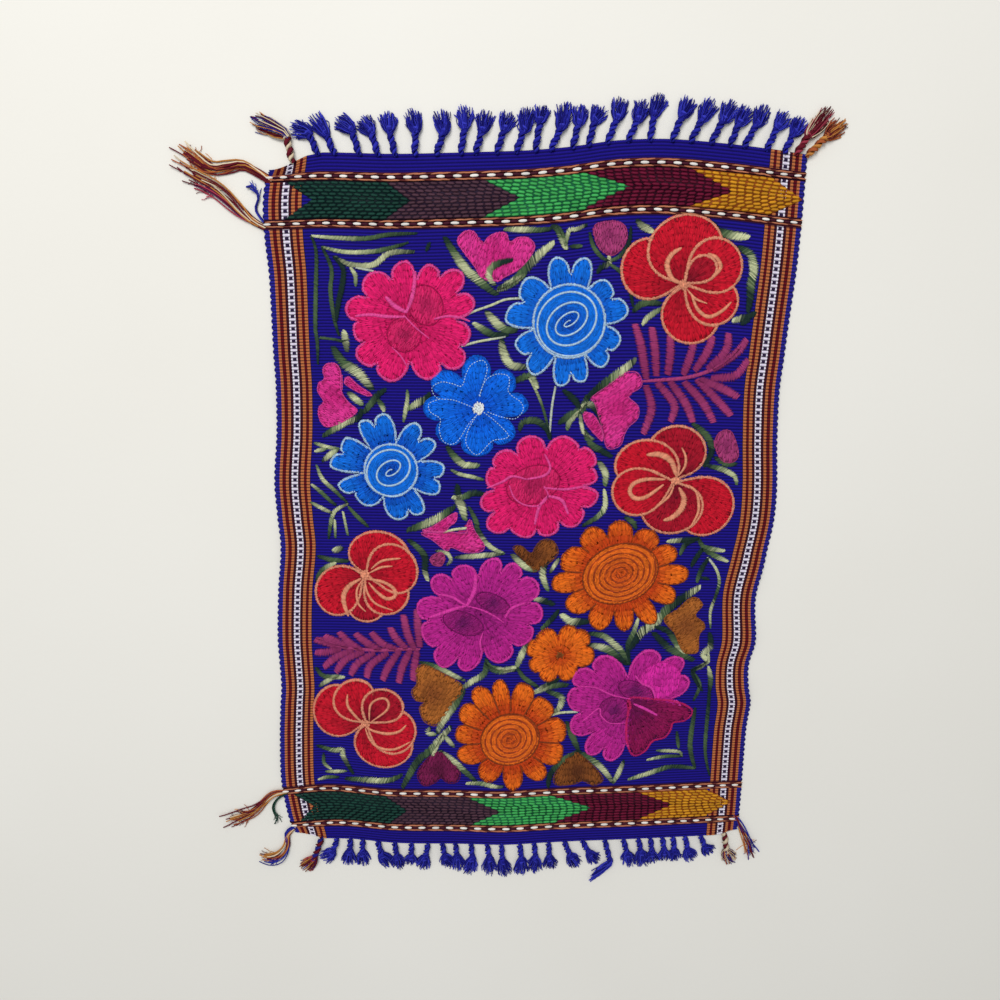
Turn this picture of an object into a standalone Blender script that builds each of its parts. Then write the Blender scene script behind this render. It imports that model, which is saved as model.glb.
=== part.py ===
"""A hand-woven cotton mat with embroidered flowers, lying flat on a table.

The mat is one sheet of warp-faced cloth. A brocade band crosses it near each end,
between two twined lines, and its field carries embroidered flowers, which stand up
as low cushions of thread. Its warp ends are twisted and knotted into blue tassels
along both short edges. The yarns of the twined lines leave the selvedges as loose
tufts. Metres, +X across the mat, +Y along its length, +Z up, with the origin on the
underside in the middle of the cloth.
"""
import math
from collections import namedtuple

import bmesh
import bpy
from mathutils import Vector

MM = 0.001

# Driving sizes of the flat cloth, metres
CLOTH_WIDTH = 0.360
CLOTH_LENGTH = 0.515
OUTER_LINE_AT = 0.2425
INNER_LINE_AT = 0.2127
LINE_WIDTH = 0.0066
STRIPES_WIDTH = 0.026
SELVEDGE_WIDTH = 0.004
SHEET_THICK = 0.0020
BAND_RISE = 0.0004
LINE_RISE = 0.0012
EDGE_DROP = 0.0006
BLOSSOM_RISE = 0.0011
FIELD_ROWS = 42
FIELD_COLUMNS = 30

# Fringe and tufts, metres
PIECE_GAP = 0.0004
BACKING_DEPTH = 0.0022
BACKING_HEIGHT = 0.0018
CORD_WIDTH = 0.0034
CORD_HEIGHT = 0.0026
KNOT_WIDTH = 0.0058
KNOT_HEIGHT = 0.0044
BRUSH_WIDTH = 0.0070
BRUSH_HEIGHT = 0.0030
TIP_HEIGHT = 0.0018
STRAND_WIDTH = 0.00100
STRAND_PITCH = 0.00160
STRAND_HEIGHT = 0.0020
STRAND_CROWN = 0.0014

# How far the selvedges lie outside a straight cloth, millimetres, from the near end up
Selvedge = namedtuple("Selvedge", "along left right")
SELVEDGES = (
    Selvedge(-257, -5.5, -3.0),
    Selvedge(-232, 0.0, -2.4),
    Selvedge(-205, 3.5, -2.6),
    Selvedge(-165, 3.0, -2.8),
    Selvedge(-142, 1.8, -1.7),
    Selvedge(-127, 0.6, -4.6),
    Selvedge(-108, 1.2, -5.2),
    Selvedge(-88, 1.8, -2.3),
    Selvedge(-50, -0.2, -4.5),
    Selvedge(-18, -3.5, 0.5),
    Selvedge(5, -1.7, 4.1),
    Selvedge(30, -0.5, 4.2),
    Selvedge(66, -3.6, 1.0),
    Selvedge(100, -4.6, -0.9),
    Selvedge(125, -3.6, 0.7),
    Selvedge(150, -3.1, 2.2),
    Selvedge(180, -2.6, 4.0),
    Selvedge(205, -1.0, 4.6),
    Selvedge(230, -1.0, 4.6),
    Selvedge(257, -5.5, 4.4),
)

# How far the wefts of each end have been pushed up, millimetres, from left to right
Weft = namedtuple("Weft", "across top bottom")
WEFTS = (
    Weft(-180, -7.5, -1.5),
    Weft(-142, -5.4, 1.3),
    Weft(-98, -5.3, -2.7),
    Weft(-50, -3.3, -3.2),
    Weft(-10, -1.2, -4.2),
    Weft(20, 1.8, -2.3),
    Weft(50, 6.4, -0.6),
    Weft(85, 8.2, 0.9),
    Weft(130, 5.8, 3.2),
    Weft(180, 1.5, 5.6),
)

# How much of the hem's depth each corner keeps, and how far in the pull reaches
Corner = namedtuple("Corner", "side end depth reach")
CORNERS = (
    Corner(-1, 1, 0.35, 0.034),
    Corner(1, 1, 0.95, 0.020),
    Corner(-1, -1, 0.45, 0.030),
    Corner(1, -1, 0.70, 0.020),
)

# Places where a selvedge lifts off the table, millimetres: side, middle, half length, height
Lift = namedtuple("Lift", "side along half_length height")
LIFTS = (
    Lift(-1, 214, 20, 1.8),
    Lift(-1, 98, 34, 1.6),
    Lift(-1, -18, 22, 1.8),
    Lift(-1, -180, 34, 1.2),
    Lift(1, 98, 30, 1.6),
    Lift(1, -34, 17, 2.6),
    Lift(1, -88, 15, 2.2),
    Lift(1, -132, 13, 2.6),
)
LIFT_REACH = 0.030

# Embroidered blossoms, millimetres: centre, width and height of the worked area
Blossom = namedtuple("Blossom", "x y wide high")
BLOSSOMS = (
    Blossom(-82, 144, 88, 80),
    Blossom(28, 146, 84, 88),
    Blossom(105, 176, 82, 76),
    Blossom(-34, 85, 70, 66),
    Blossom(-96, 40, 82, 80),
    Blossom(11, 29, 84, 78),
    Blossom(108, 36, 92, 82),
    Blossom(-111, -42, 82, 75),
    Blossom(-31, -68, 92, 90),
    Blossom(73, -37, 98, 84),
    Blossom(30, -99, 50, 46),
    Blossom(-116, -162, 82, 80),
    Blossom(-5, -167, 88, 90),
    Blossom(86, -139, 94, 92),
)

# One row for each tassel from left to right: where it leaves the edge, as a share of the
# stretch that carries tassels, then the lean of its cord and of its brush from straight out
Tassel = namedtuple("Tassel", "share cord_lean brush_lean cord_length brush_length")
TOP_TASSELS = (
    Tassel(0.000, -34, -72, 10, 13),
    Tassel(0.036, -36, -38, 10, 14),
    Tassel(0.088, -24, -56, 12, 12),
    Tassel(0.128, -24, -42, 11, 11),
    Tassel(0.164, -18, -8, 12, 11),
    Tassel(0.205, 4, -14, 11, 13),
    Tassel(0.250, 28, -14, 11, 14),
    Tassel(0.303, 12, -4, 13, 13),
    Tassel(0.334, 24, 12, 11, 13),
    Tassel(0.379, 26, 18, 12, 11),
    Tassel(0.421, 28, 8, 11, 14),
    Tassel(0.463, 10, 10, 15, 10),
    Tassel(0.495, 34, 6, 12, 16),
    Tassel(0.542, 18, 6, 12, 11),
    Tassel(0.576, 18, 30, 12, 10),
    Tassel(0.616, 28, 10, 13, 13),
    Tassel(0.660, 34, 14, 11, 13),
    Tassel(0.708, 10, 20, 12, 13),
    Tassel(0.755, 28, 28, 13, 13),
    Tassel(0.795, 36, 28, 12, 14),
    Tassel(0.839, 36, 24, 13, 13),
    Tassel(0.881, 28, 34, 11, 12),
    Tassel(0.911, 38, 20, 13, 13),
    Tassel(0.961, 32, 36, 12, 11),
    Tassel(1.000, 34, 38, 10, 11),
)
BOTTOM_TASSELS = (
    Tassel(0.000, -26, -46, 9, 12),
    Tassel(0.035, -4, -8, 8, 12),
    Tassel(0.068, 0, 4, 8, 12),
    Tassel(0.108, 24, 32, 9, 12),
    Tassel(0.155, 14, 4, 9, 11),
    Tassel(0.202, 0, -6, 8, 8),
    Tassel(0.248, -14, -12, 9, 11),
    Tassel(0.286, 18, 24, 8, 10),
    Tassel(0.322, 14, 2, 8, 13),
    Tassel(0.366, 8, -14, 9, 15),
    Tassel(0.410, 14, 2, 9, 15),
    Tassel(0.450, 6, 14, 11, 14),
    Tassel(0.500, 12, 0, 10, 14),
    Tassel(0.540, 10, -2, 10, 13),
    Tassel(0.580, 8, 6, 10, 11),
    Tassel(0.622, 34, 28, 11, 12),
    Tassel(0.672, 42, 36, 10, 11),
    Tassel(0.735, 20, -44, 16, 24),
    Tassel(0.786, 26, 14, 10, 12),
    Tassel(0.828, 22, 12, 9, 14),
    Tassel(0.862, 14, 10, 10, 10),
    Tassel(0.895, 18, 2, 9, 9),
    Tassel(0.925, 14, 8, 9, 9),
    Tassel(0.958, 22, 30, 10, 10),
    Tassel(1.000, 38, 42, 9, 8),
)
# The stretch of each edge that carries blue tassels, metres from the middle of the cloth
TOP_FRINGE = (-0.147, 0.1635)
BOTTOM_FRINGE = (-0.146, 0.1490)
# Knotted ends of the striped borders, one row for each, on the same terms as the tassels,
# but with its place across the cloth in millimetres
BorderEnd = namedtuple("BorderEnd", "across cord_lean brush_lean cord_length brush_length")
TOP_BORDER_ENDS = (
    BorderEnd(-164.0, -16, -66, 12, 25),
    BorderEnd(171.5, 44, 40, 11, 21),
    BorderEnd(179.0, 56, 50, 15, 15),
)
BOTTOM_BORDER_ENDS = (
    BorderEnd(-158.5, -24, -40, 16, 14),
    BorderEnd(169.0, 14, 30, 13, 13),
)

# Yarn tufts at the ends of the twined lines: where they leave the selvedge, how many
# strands they have, and the bends of their middle, millimetres
Tuft = namedtuple("Tuft", "name side along strands bends")
TUFTS = (
    Tuft("tuft_left_1", -1, 0.2400, 6,
         ((-190, 242.5), (-207, 240.5), (-216, 242.5), (-226, 249), (-240, 258))),
    Tuft("tuft_left_2", -1, 0.2090, 7,
         ((-187, 207.5), (-194, 213.5), (-202, 222), (-213, 228.5), (-226, 234), (-240, 239))),
    Tuft("tuft_left_3", -1, -0.2137, 6,
         ((-191, -217), (-199, -224.5), (-207, -232), (-218, -236.5), (-233, -241))),
    Tuft("tuft_left_4", -1, -0.2440, 6,
         ((-182.5, -256), (-185, -265), (-192, -271.5), (-204, -273))),
    Tuft("tuft_right_4", 1, -0.2395, 4,
         ((184, -250), (188, -260), (194, -273))),
)

# Finishes: base colour, roughness
Finish = namedtuple("Finish", "color roughness")
CLOTH_FINISH = Finish((0.016, 0.009, 0.21, 1.0), 0.9)
FRINGE_FINISH = Finish((0.022, 0.020, 0.30, 1.0), 0.9)
YARN_FINISH = Finish((0.16, 0.03, 0.02, 1.0), 0.85)


def smooth_step(value):
    """Ease a value from 0 to 1, held at both ends."""
    value = min(max(value, 0.0), 1.0)
    return value * value * (3 - 2 * value)


def table_value(rows, place, column):
    """Read a column of a table between its rows, on a smooth curve through them."""
    places = [row[0] for row in rows]
    if place <= places[0]:
        return getattr(rows[0], column)
    if place >= places[-1]:
        return getattr(rows[-1], column)
    index = max(i for i, start in enumerate(places) if start <= place)
    index = min(index, len(rows) - 2)
    before = getattr(rows[max(index - 1, 0)], column)
    start = getattr(rows[index], column)
    end = getattr(rows[index + 1], column)
    after = getattr(rows[min(index + 2, len(rows) - 1)], column)
    t = (place - places[index]) / (places[index + 1] - places[index])
    return 0.5 * (2 * start + (end - before) * t
                  + (2 * before - 5 * start + 4 * end - after) * t ** 2
                  + (3 * start - before - 3 * end + after) * t ** 3)


def hem_depth_share(across, end):
    """How much of the hem's depth is left at a place across the cloth."""
    share = 1.0
    for corner in CORNERS:
        if corner.end == end:
            from_edge = CLOTH_WIDTH / 2 - across * corner.side
            share *= corner.depth + (1 - corner.depth) * smooth_step(from_edge / corner.reach)
    return share


def on_table(across, along):
    """Where a crossing of the flat cloth lies on the table, as x and y."""
    left = CLOTH_WIDTH / 2 + table_value(SELVEDGES, along / MM, "left") * MM
    right = CLOTH_WIDTH / 2 + table_value(SELVEDGES, along / MM, "right") * MM
    x = -left + (left + right) * (across / CLOTH_WIDTH + 0.5)
    end = 1 if along > 0 else -1
    beyond = max(abs(along) - OUTER_LINE_AT, 0.0)
    y = end * (min(abs(along), OUTER_LINE_AT) + beyond * hem_depth_share(across, end))
    fade = smooth_step((abs(along) - 0.04) / (INNER_LINE_AT - 0.04))
    column = "top" if end > 0 else "bottom"
    y += table_value(WEFTS, across / MM, column) * MM * fade
    return x, y


def lift_at(across, along):
    """How far the underside stands off the table."""
    height = 0.0
    for lift in LIFTS:
        from_edge = CLOTH_WIDTH / 2 - across * lift.side
        inward = 1 - smooth_step(from_edge / LIFT_REACH)
        offset = (along / MM - lift.along) / lift.half_length
        height += lift.height * MM * inward * math.exp(-offset * offset)
    return height


def blossom_rise(x, y):
    """Height of the embroidery's cushions over the cloth."""
    rise = 0.0
    for blossom in BLOSSOMS:
        dx = (x / MM - blossom.x) / (blossom.wide / 2)
        dy = (y / MM - blossom.y) / (blossom.high / 2)
        reach = math.hypot(dx, dy)
        rise = max(rise, BLOSSOM_RISE * (1 - smooth_step((reach - 0.55) / 0.5)))
    return rise


def row_places():
    """Places of the mesh rows along the cloth, closer together at the twined lines."""
    half_line = LINE_WIDTH / 2
    end_rows = [
        CLOTH_LENGTH / 2,
        (CLOTH_LENGTH / 2 + OUTER_LINE_AT + half_line) / 2,
        OUTER_LINE_AT + half_line,
        OUTER_LINE_AT,
        OUTER_LINE_AT - half_line,
        (OUTER_LINE_AT + INNER_LINE_AT) / 2,
        INNER_LINE_AT + half_line,
        INNER_LINE_AT,
    ]
    field = INNER_LINE_AT - half_line
    inner = [field - 2 * field * i / FIELD_ROWS for i in range(FIELD_ROWS + 1)]
    return end_rows + inner + [-place for place in reversed(end_rows)]


def column_places():
    """Places of the mesh columns across the cloth."""
    half = CLOTH_WIDTH / 2
    field = half - STRIPES_WIDTH
    inner = [-field + 2 * field * i / FIELD_COLUMNS for i in range(FIELD_COLUMNS + 1)]
    stripes = [half - STRIPES_WIDTH / 2, half - SELVEDGE_WIDTH, half]
    return [-place for place in reversed(stripes)] + inner + stripes


def surface_rise(across, along, x, y):
    """Height of the cloth's face over a plain sheet."""
    place = abs(along)
    nearest_line = min(abs(place - OUTER_LINE_AT), abs(place - INNER_LINE_AT))
    rise = LINE_RISE * (1 - smooth_step(nearest_line / (LINE_WIDTH / 2)))
    if INNER_LINE_AT < place < OUTER_LINE_AT:
        rise = max(rise, BAND_RISE)
    if place < INNER_LINE_AT:
        rise = max(rise, blossom_rise(x, y))
    on_rim = max(abs(across) / (CLOTH_WIDTH / 2), place / (CLOTH_LENGTH / 2))
    if on_rim > 0.9999:
        rise = min(rise, LINE_RISE / 2) - EDGE_DROP
    return rise


def make_material(name, finish):
    """A plain material of one colour."""
    material = bpy.data.materials.new(name)
    material.use_nodes = True
    shader = material.node_tree.nodes["Principled BSDF"]
    shader.inputs["Base Color"].default_value = finish.color
    shader.inputs["Roughness"].default_value = finish.roughness
    shader.inputs["Metallic"].default_value = 0.0
    return material


def add_object(name, mesh_data, material):
    """Turn a bmesh into a named object of the scene."""
    bmesh.ops.recalc_face_normals(mesh_data, faces=mesh_data.faces)
    mesh = bpy.data.meshes.new(name)
    mesh_data.to_mesh(mesh)
    mesh_data.free()
    mesh.materials.append(material)
    new_object = bpy.data.objects.new(name, mesh)
    bpy.context.collection.objects.link(new_object)
    return new_object


def make_cloth(material):
    """The sheet: a fine face, an underside of half as many rows and columns, and its rim."""
    rows, columns = row_places(), column_places()
    last_row, last_column = len(rows) - 1, len(columns) - 1
    build = bmesh.new()
    face, under = {}, {}
    for i, along in enumerate(rows):
        for j, across in enumerate(columns):
            x, y = on_table(across, along)
            base = lift_at(across, along)
            top = base + SHEET_THICK + surface_rise(across, along, x, y)
            face[i, j] = build.verts.new((x, y, top))
            on_rim = i in (0, last_row) or j in (0, last_column)
            if on_rim or (i % 2 == 0 and j % 2 == 0):
                under[i, j] = build.verts.new((x, y, base))
    for i in range(last_row):
        for j in range(last_column):
            build.faces.new((face[i, j], face[i + 1, j], face[i + 1, j + 1], face[i, j + 1]))
    for i in range(0, last_row, 2):
        for j in range(0, last_column, 2):
            ring = ((i, j), (i, j + 1), (i, j + 2), (i + 1, j + 2),
                    (i + 2, j + 2), (i + 2, j + 1), (i + 2, j), (i + 1, j))
            build.faces.new([under[place] for place in ring if place in under])
    rim = ([(0, j) for j in range(last_column)]
           + [(i, last_column) for i in range(last_row)]
           + [(last_row, j) for j in range(last_column, 0, -1)]
           + [(i, 0) for i in range(last_row, 0, -1)])
    for here, there in zip(rim, rim[1:] + rim[:1]):
        build.faces.new((face[here], face[there], under[there], under[here]))
    return add_object("cloth", build, material)


def ring_at(build, centre, heading, half_width, height):
    """Four corners of a lock's section that rests level on the table."""
    side = Vector((-math.sin(heading), math.cos(heading))) * half_width
    left, right = centre + side, centre - side
    return [build.verts.new((left.x, left.y, 0.0)), build.verts.new((right.x, right.y, 0.0)),
            build.verts.new((right.x, right.y, height)), build.verts.new((left.x, left.y, height))]


def join_rings(build, near, far):
    """Walls between two sections of a lock."""
    for k in range(4):
        build.faces.new((near[k], near[(k + 1) % 4], far[(k + 1) % 4], far[k]))


def make_comb(name, backing, locks, material):
    """A backing strip with locks drawn out of its outer side, as one solid.

    backing holds the inner and outer point of each station. locks maps a station to the
    sections of the lock that stands between it and the next one. A lock's root starts at
    its left side, as its sections do.
    """
    build = bmesh.new()
    stations = []
    for inner, outer in backing:
        stations.append([build.verts.new((inner.x, inner.y, 0.0)),
                         build.verts.new((outer.x, outer.y, 0.0)),
                         build.verts.new((outer.x, outer.y, BACKING_HEIGHT)),
                         build.verts.new((inner.x, inner.y, BACKING_HEIGHT))])
    for index, (near, far) in enumerate(zip(stations, stations[1:])):
        for k in (0, 2, 3):
            build.faces.new((near[k], near[(k + 1) % 4], far[(k + 1) % 4], far[k]))
        root = [near[1], far[1], far[2], near[2]]
        if index not in locks:
            build.faces.new(root)
            continue
        outward = locks[index][0][1]
        step = backing[index + 1][1] - backing[index][1]
        if step.y * math.cos(outward) > step.x * math.sin(outward):
            root = [far[1], near[1], near[2], far[2]]
        for centre, heading, half_width, height in locks[index]:
            section = ring_at(build, centre, heading, half_width, height)
            join_rings(build, root, section)
            root = section
        build.faces.new(root)
    build.faces.new(stations[0])
    build.faces.new(stations[-1])
    return add_object(name, build, material)


def tassel_sections(root, outward, tassel):
    """Sections of one tassel: a twisted cord, its knot, and the brush beyond."""
    cord_heading = outward - math.radians(tassel.cord_lean) * math.copysign(1, math.sin(outward))
    brush_heading = outward - math.radians(tassel.brush_lean) * math.copysign(1, math.sin(outward))
    turn = (cord_heading + brush_heading) / 2
    cord_step = Vector((math.cos(cord_heading), math.sin(cord_heading)))
    brush_step = Vector((math.cos(brush_heading), math.sin(brush_heading)))
    cord, brush = tassel.cord_length * MM, tassel.brush_length * MM
    knot = root + cord_step * cord
    return [
        (root + cord_step * cord * 0.30, cord_heading, CORD_WIDTH / 2, CORD_HEIGHT),
        (root + cord_step * cord * 0.72, cord_heading, CORD_WIDTH / 2, CORD_HEIGHT),
        (knot, turn, KNOT_WIDTH / 2, KNOT_HEIGHT),
        (knot + brush_step * brush * 0.25, brush_heading, KNOT_WIDTH * 0.36, BRUSH_HEIGHT),
        (knot + brush_step * brush * 0.70, brush_heading, BRUSH_WIDTH / 2, BRUSH_HEIGHT),
        (knot + brush_step * brush, brush_heading, BRUSH_WIDTH * 0.38, TIP_HEIGHT),
    ]


def end_edge(across, end):
    """The outermost row of the cloth's mesh at a place across it."""
    columns = column_places()
    index = max(j for j, place in enumerate(columns) if place <= across)
    index = min(index, len(columns) - 2)
    near = Vector(on_table(columns[index], end * CLOTH_LENGTH / 2))
    far = Vector(on_table(columns[index + 1], end * CLOTH_LENGTH / 2))
    share = (across - columns[index]) / (columns[index + 1] - columns[index])
    return near.lerp(far, share)


def make_fringe(name, end, tassels, stretch, border_ends, material):
    """The knotted fringe of one end, on its narrow backing strip."""
    ends = [(stretch[0] + row.share * (stretch[1] - stretch[0]), row) for row in tassels]
    ends += [(row.across * MM, row) for row in border_ends]
    outward = math.radians(90) * end
    gap, depth = Vector((0, PIECE_GAP * end)), Vector((0, BACKING_DEPTH * end))
    stations = [(across - CORD_WIDTH / 2, row) for across, row in ends]
    stations += [(across + CORD_WIDTH / 2, None) for across, row in ends]
    first = min(across for across, row in stations)
    last = max(across for across, row in stations)
    for bend in column_places():
        beside_a_lock = min(abs(bend - across) for across, row in ends) < CORD_WIDTH
        if first < bend < last and not beside_a_lock:
            stations.append((bend, None))
    stations.sort(key=lambda item: item[0])
    backing, locks = [], {}
    for across, row in stations:
        if row is not None:
            locks[len(backing)] = row
        inner = end_edge(across, end) + gap
        backing.append((inner, inner + depth))
    for station, row in locks.items():
        root = (backing[station][1] + backing[station + 1][1]) / 2
        locks[station] = tassel_sections(root, outward, row)
    return make_comb(name, backing, locks, material)


def selvedge_edge(along, side):
    """The outermost column of the cloth's mesh at a place along it."""
    rows = row_places()
    index = max(i for i, place in enumerate(rows) if place >= along)
    index = min(index, len(rows) - 2)
    near = Vector(on_table(side * CLOTH_WIDTH / 2, rows[index]))
    far = Vector(on_table(side * CLOTH_WIDTH / 2, rows[index + 1]))
    share = (rows[index] - along) / (rows[index] - rows[index + 1])
    return near.lerp(far, share)


def strand_sections(route, offset, height):
    """Sections of one strand that runs beside its tuft's middle line."""
    sections = []
    for k in range(1, len(route)):
        back = route[k] - route[k - 1]
        ahead = route[min(k + 1, len(route) - 1)] - route[min(k, len(route) - 2)]
        heading = (back.normalized() + ahead.normalized()).normalized()
        side = Vector((-heading.y, heading.x)) * offset
        taper = 0.8 if k == len(route) - 1 else 1.0
        sections.append((route[k] + side, math.atan2(heading.y, heading.x),
                         STRAND_WIDTH / 2 * taper, height * taper))
    return sections


def make_tuft(tuft, material):
    """A yarn tuft: its head against the selvedge, and its strands on the table."""
    gap = Vector((PIECE_GAP * tuft.side, 0))
    depth = Vector((BACKING_DEPTH * tuft.side, 0))
    middle = (tuft.strands - 1) / 2
    backing, locks = [], {}
    root = selvedge_edge(tuft.along, tuft.side) + gap + depth
    route = [root] + [Vector(bend) * MM for bend in tuft.bends]
    for k in range(tuft.strands):
        locks[len(backing)] = k - middle
        for edge in (-1, 1):
            along = tuft.along + (k - middle) * STRAND_PITCH + edge * STRAND_WIDTH / 2
            inner = selvedge_edge(along, tuft.side) + gap
            backing.append((inner, inner + depth))
    for station, rank in locks.items():
        crown = STRAND_CROWN * (1 - (rank / (middle + 0.5)) ** 2)
        offset = rank * STRAND_PITCH * tuft.side
        locks[station] = strand_sections(route, offset, STRAND_HEIGHT + crown)
    return make_comb(tuft.name, backing, locks, material)


def main():
    """Clear the scene and make every piece of the mat."""
    for old in list(bpy.data.objects):
        bpy.data.objects.remove(old, do_unlink=True)
    make_cloth(make_material("woven_cotton", CLOTH_FINISH))
    fringe_material = make_material("fringe_cotton", FRINGE_FINISH)
    make_fringe("fringe_top", 1, TOP_TASSELS, TOP_FRINGE, TOP_BORDER_ENDS, fringe_material)
    make_fringe("fringe_bottom", -1, BOTTOM_TASSELS, BOTTOM_FRINGE, BOTTOM_BORDER_ENDS,
                fringe_material)
    yarn_material = make_material("yarn_ends", YARN_FINISH)
    for tuft in TUFTS:
        make_tuft(tuft, yarn_material)


main()
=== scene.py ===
"""A hand-woven, embroidered cotton mat, laid flat on a pale floor.

The woven sheet carries striped selvedges, two brocade bands between twined lines, and a
field of satin-stitched flowers and leaves. Its warp ends are twisted, knotted and brushed
out into a fringe, and the yarns of the twined lines leave the selvedges as loose tufts.
Tables that describe the mat are in millimetres, meshes in metres.
"""
import logging
import math
from collections import namedtuple
from dataclasses import dataclass, field
from enum import Enum
from typing import Callable, Dict, List, Optional, Sequence, Tuple, Union

import bpy
import numpy as np
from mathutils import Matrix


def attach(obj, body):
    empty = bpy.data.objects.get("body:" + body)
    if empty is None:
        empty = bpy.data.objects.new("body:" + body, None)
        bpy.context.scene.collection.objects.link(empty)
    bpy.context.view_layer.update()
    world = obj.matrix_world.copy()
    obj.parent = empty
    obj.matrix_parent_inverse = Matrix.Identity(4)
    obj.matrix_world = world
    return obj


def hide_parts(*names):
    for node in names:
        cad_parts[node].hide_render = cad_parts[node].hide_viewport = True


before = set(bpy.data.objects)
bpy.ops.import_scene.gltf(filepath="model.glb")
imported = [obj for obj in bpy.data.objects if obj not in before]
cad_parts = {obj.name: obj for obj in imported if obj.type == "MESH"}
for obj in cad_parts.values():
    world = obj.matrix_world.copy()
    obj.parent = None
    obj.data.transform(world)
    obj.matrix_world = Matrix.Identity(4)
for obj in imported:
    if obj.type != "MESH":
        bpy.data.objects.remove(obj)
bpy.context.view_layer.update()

LOG = logging.getLogger("mat")
MM = 0.001
MM_PER_METRE = 1000
Point = Tuple[float, float]
Colour = Tuple[float, float, float]

# How far the selvedges lie outside a straight cloth, from the near end up
Selvedge = namedtuple("Selvedge", "along left right")
SELVEDGES = (
    Selvedge(-257, -5.5, -3.0),
    Selvedge(-232, 0.0, -2.4),
    Selvedge(-205, 3.5, -2.6),
    Selvedge(-165, 3.0, -2.8),
    Selvedge(-142, 1.8, -1.7),
    Selvedge(-127, 0.6, -4.6),
    Selvedge(-108, 1.2, -5.2),
    Selvedge(-88, 1.8, -2.3),
    Selvedge(-50, -0.2, -4.5),
    Selvedge(-18, -3.5, 0.5),
    Selvedge(5, -1.7, 4.1),
    Selvedge(30, -0.5, 4.2),
    Selvedge(66, -3.6, 1.0),
    Selvedge(100, -4.6, -0.9),
    Selvedge(125, -3.6, 0.7),
    Selvedge(150, -3.1, 2.2),
    Selvedge(180, -2.6, 4.0),
    Selvedge(205, -1.0, 4.6),
    Selvedge(230, -1.0, 4.6),
    Selvedge(257, -5.5, 4.4),
)

# How far the wefts of each end have been pushed up, from left to right
Weft = namedtuple("Weft", "across top bottom")
WEFTS = (
    Weft(-180, -7.5, -1.5),
    Weft(-142, -5.4, 1.3),
    Weft(-98, -5.3, -2.7),
    Weft(-50, -3.3, -3.2),
    Weft(-10, -1.2, -4.2),
    Weft(20, 1.8, -2.3),
    Weft(50, 6.4, -0.6),
    Weft(85, 8.2, 0.9),
    Weft(130, 5.8, 3.2),
    Weft(180, 1.5, 5.6),
)

# How much of the hem's depth each corner keeps, and how far in the pull reaches
Corner = namedtuple("Corner", "side end depth reach")
CORNERS = (
    Corner(-1, 1, 0.35, 34),
    Corner(1, 1, 0.95, 20),
    Corner(-1, -1, 0.45, 30),
    Corner(1, -1, 0.70, 20),
)

# Places where a selvedge lifts off the floor
Lift = namedtuple("Lift", "side along half_length height")
LIFTS = (
    Lift(-1, 214, 20, 1.8),
    Lift(-1, 98, 34, 1.6),
    Lift(-1, -18, 22, 1.8),
    Lift(-1, -180, 34, 1.2),
    Lift(1, 98, 30, 1.6),
    Lift(1, -34, 17, 2.6),
    Lift(1, -88, 15, 2.2),
    Lift(1, -132, 13, 2.6),
)

# Stripes of each border, from the selvedge inwards: width, colour as eight-bit values,
# and how proud the warp stands
Stripe = namedtuple("Stripe", "name width colour crown")
STRIPES = (
    Stripe("selvedge", 3.5, (38, 34, 140), 0.30),
    Stripe("outer_orange", 2.0, (190, 112, 64), 0.45),
    Stripe("outer_maroon", 2.5, (98, 12, 20), 0.25),
    Stripe("second_orange", 2.0, (190, 112, 64), 0.45),
    Stripe("wine", 2.0, (62, 12, 28), 0.15),
    Stripe("outer_rail", 1.2, (236, 228, 240), 0.40),
    Stripe("ladder", 2.5, (228, 218, 236), 0.35),
    Stripe("inner_rail", 0.8, (236, 228, 240), 0.40),
    Stripe("inner_wine", 1.9, (62, 12, 28), 0.15),
    Stripe("third_orange", 2.3, (190, 112, 64), 0.45),
    Stripe("inner_maroon", 2.0, (98, 12, 20), 0.25),
    Stripe("inner_orange", 2.3, (190, 112, 64), 0.45),
    Stripe("shadow", 0.5, (18, 10, 60), 0.0),
)


def linear(colour: Colour) -> Colour:
    """Eight-bit screen colour as scene-linear values.

    Args:
        colour: Red, green and blue from 0 to 255.

    Returns:
        The same colour from 0 to 1, linear.
    """
    shares = [value / 255 for value in colour]
    return tuple(s / 12.92 if s <= 0.04045 else ((s + 0.055) / 1.055) ** 2.4 for s in shares)


def smooth_step(value: np.ndarray) -> np.ndarray:
    """Ease values from 0 to 1, held at both ends."""
    value = np.clip(value, 0.0, 1.0)
    return value * value * (3 - 2 * value)


def through(places: np.ndarray, values: np.ndarray, at: np.ndarray) -> np.ndarray:
    """Read a smooth curve through table values.

    Args:
        places: Rising places of the table's rows.
        values: The value of each row, or one row of values for each place.
        at: Where to read the curve.

    Returns:
        One value, or row of values, for each place in at.
    """
    at = np.clip(np.asarray(at, float), places[0], places[-1])
    index = np.clip(np.searchsorted(places, at, side="right") - 1, 0, len(places) - 2)
    t = (at - places[index]) / (places[index + 1] - places[index])
    if values.ndim > 1:
        t = t[..., None]
    before, start = values[np.maximum(index - 1, 0)], values[index]
    end, after = values[index + 1], values[np.minimum(index + 2, len(places) - 1)]
    return 0.5 * (2 * start + (end - before) * t
                  + (2 * before - 5 * start + 4 * end - after) * t ** 2
                  + (3 * start - before - 3 * end + after) * t ** 3)


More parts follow.
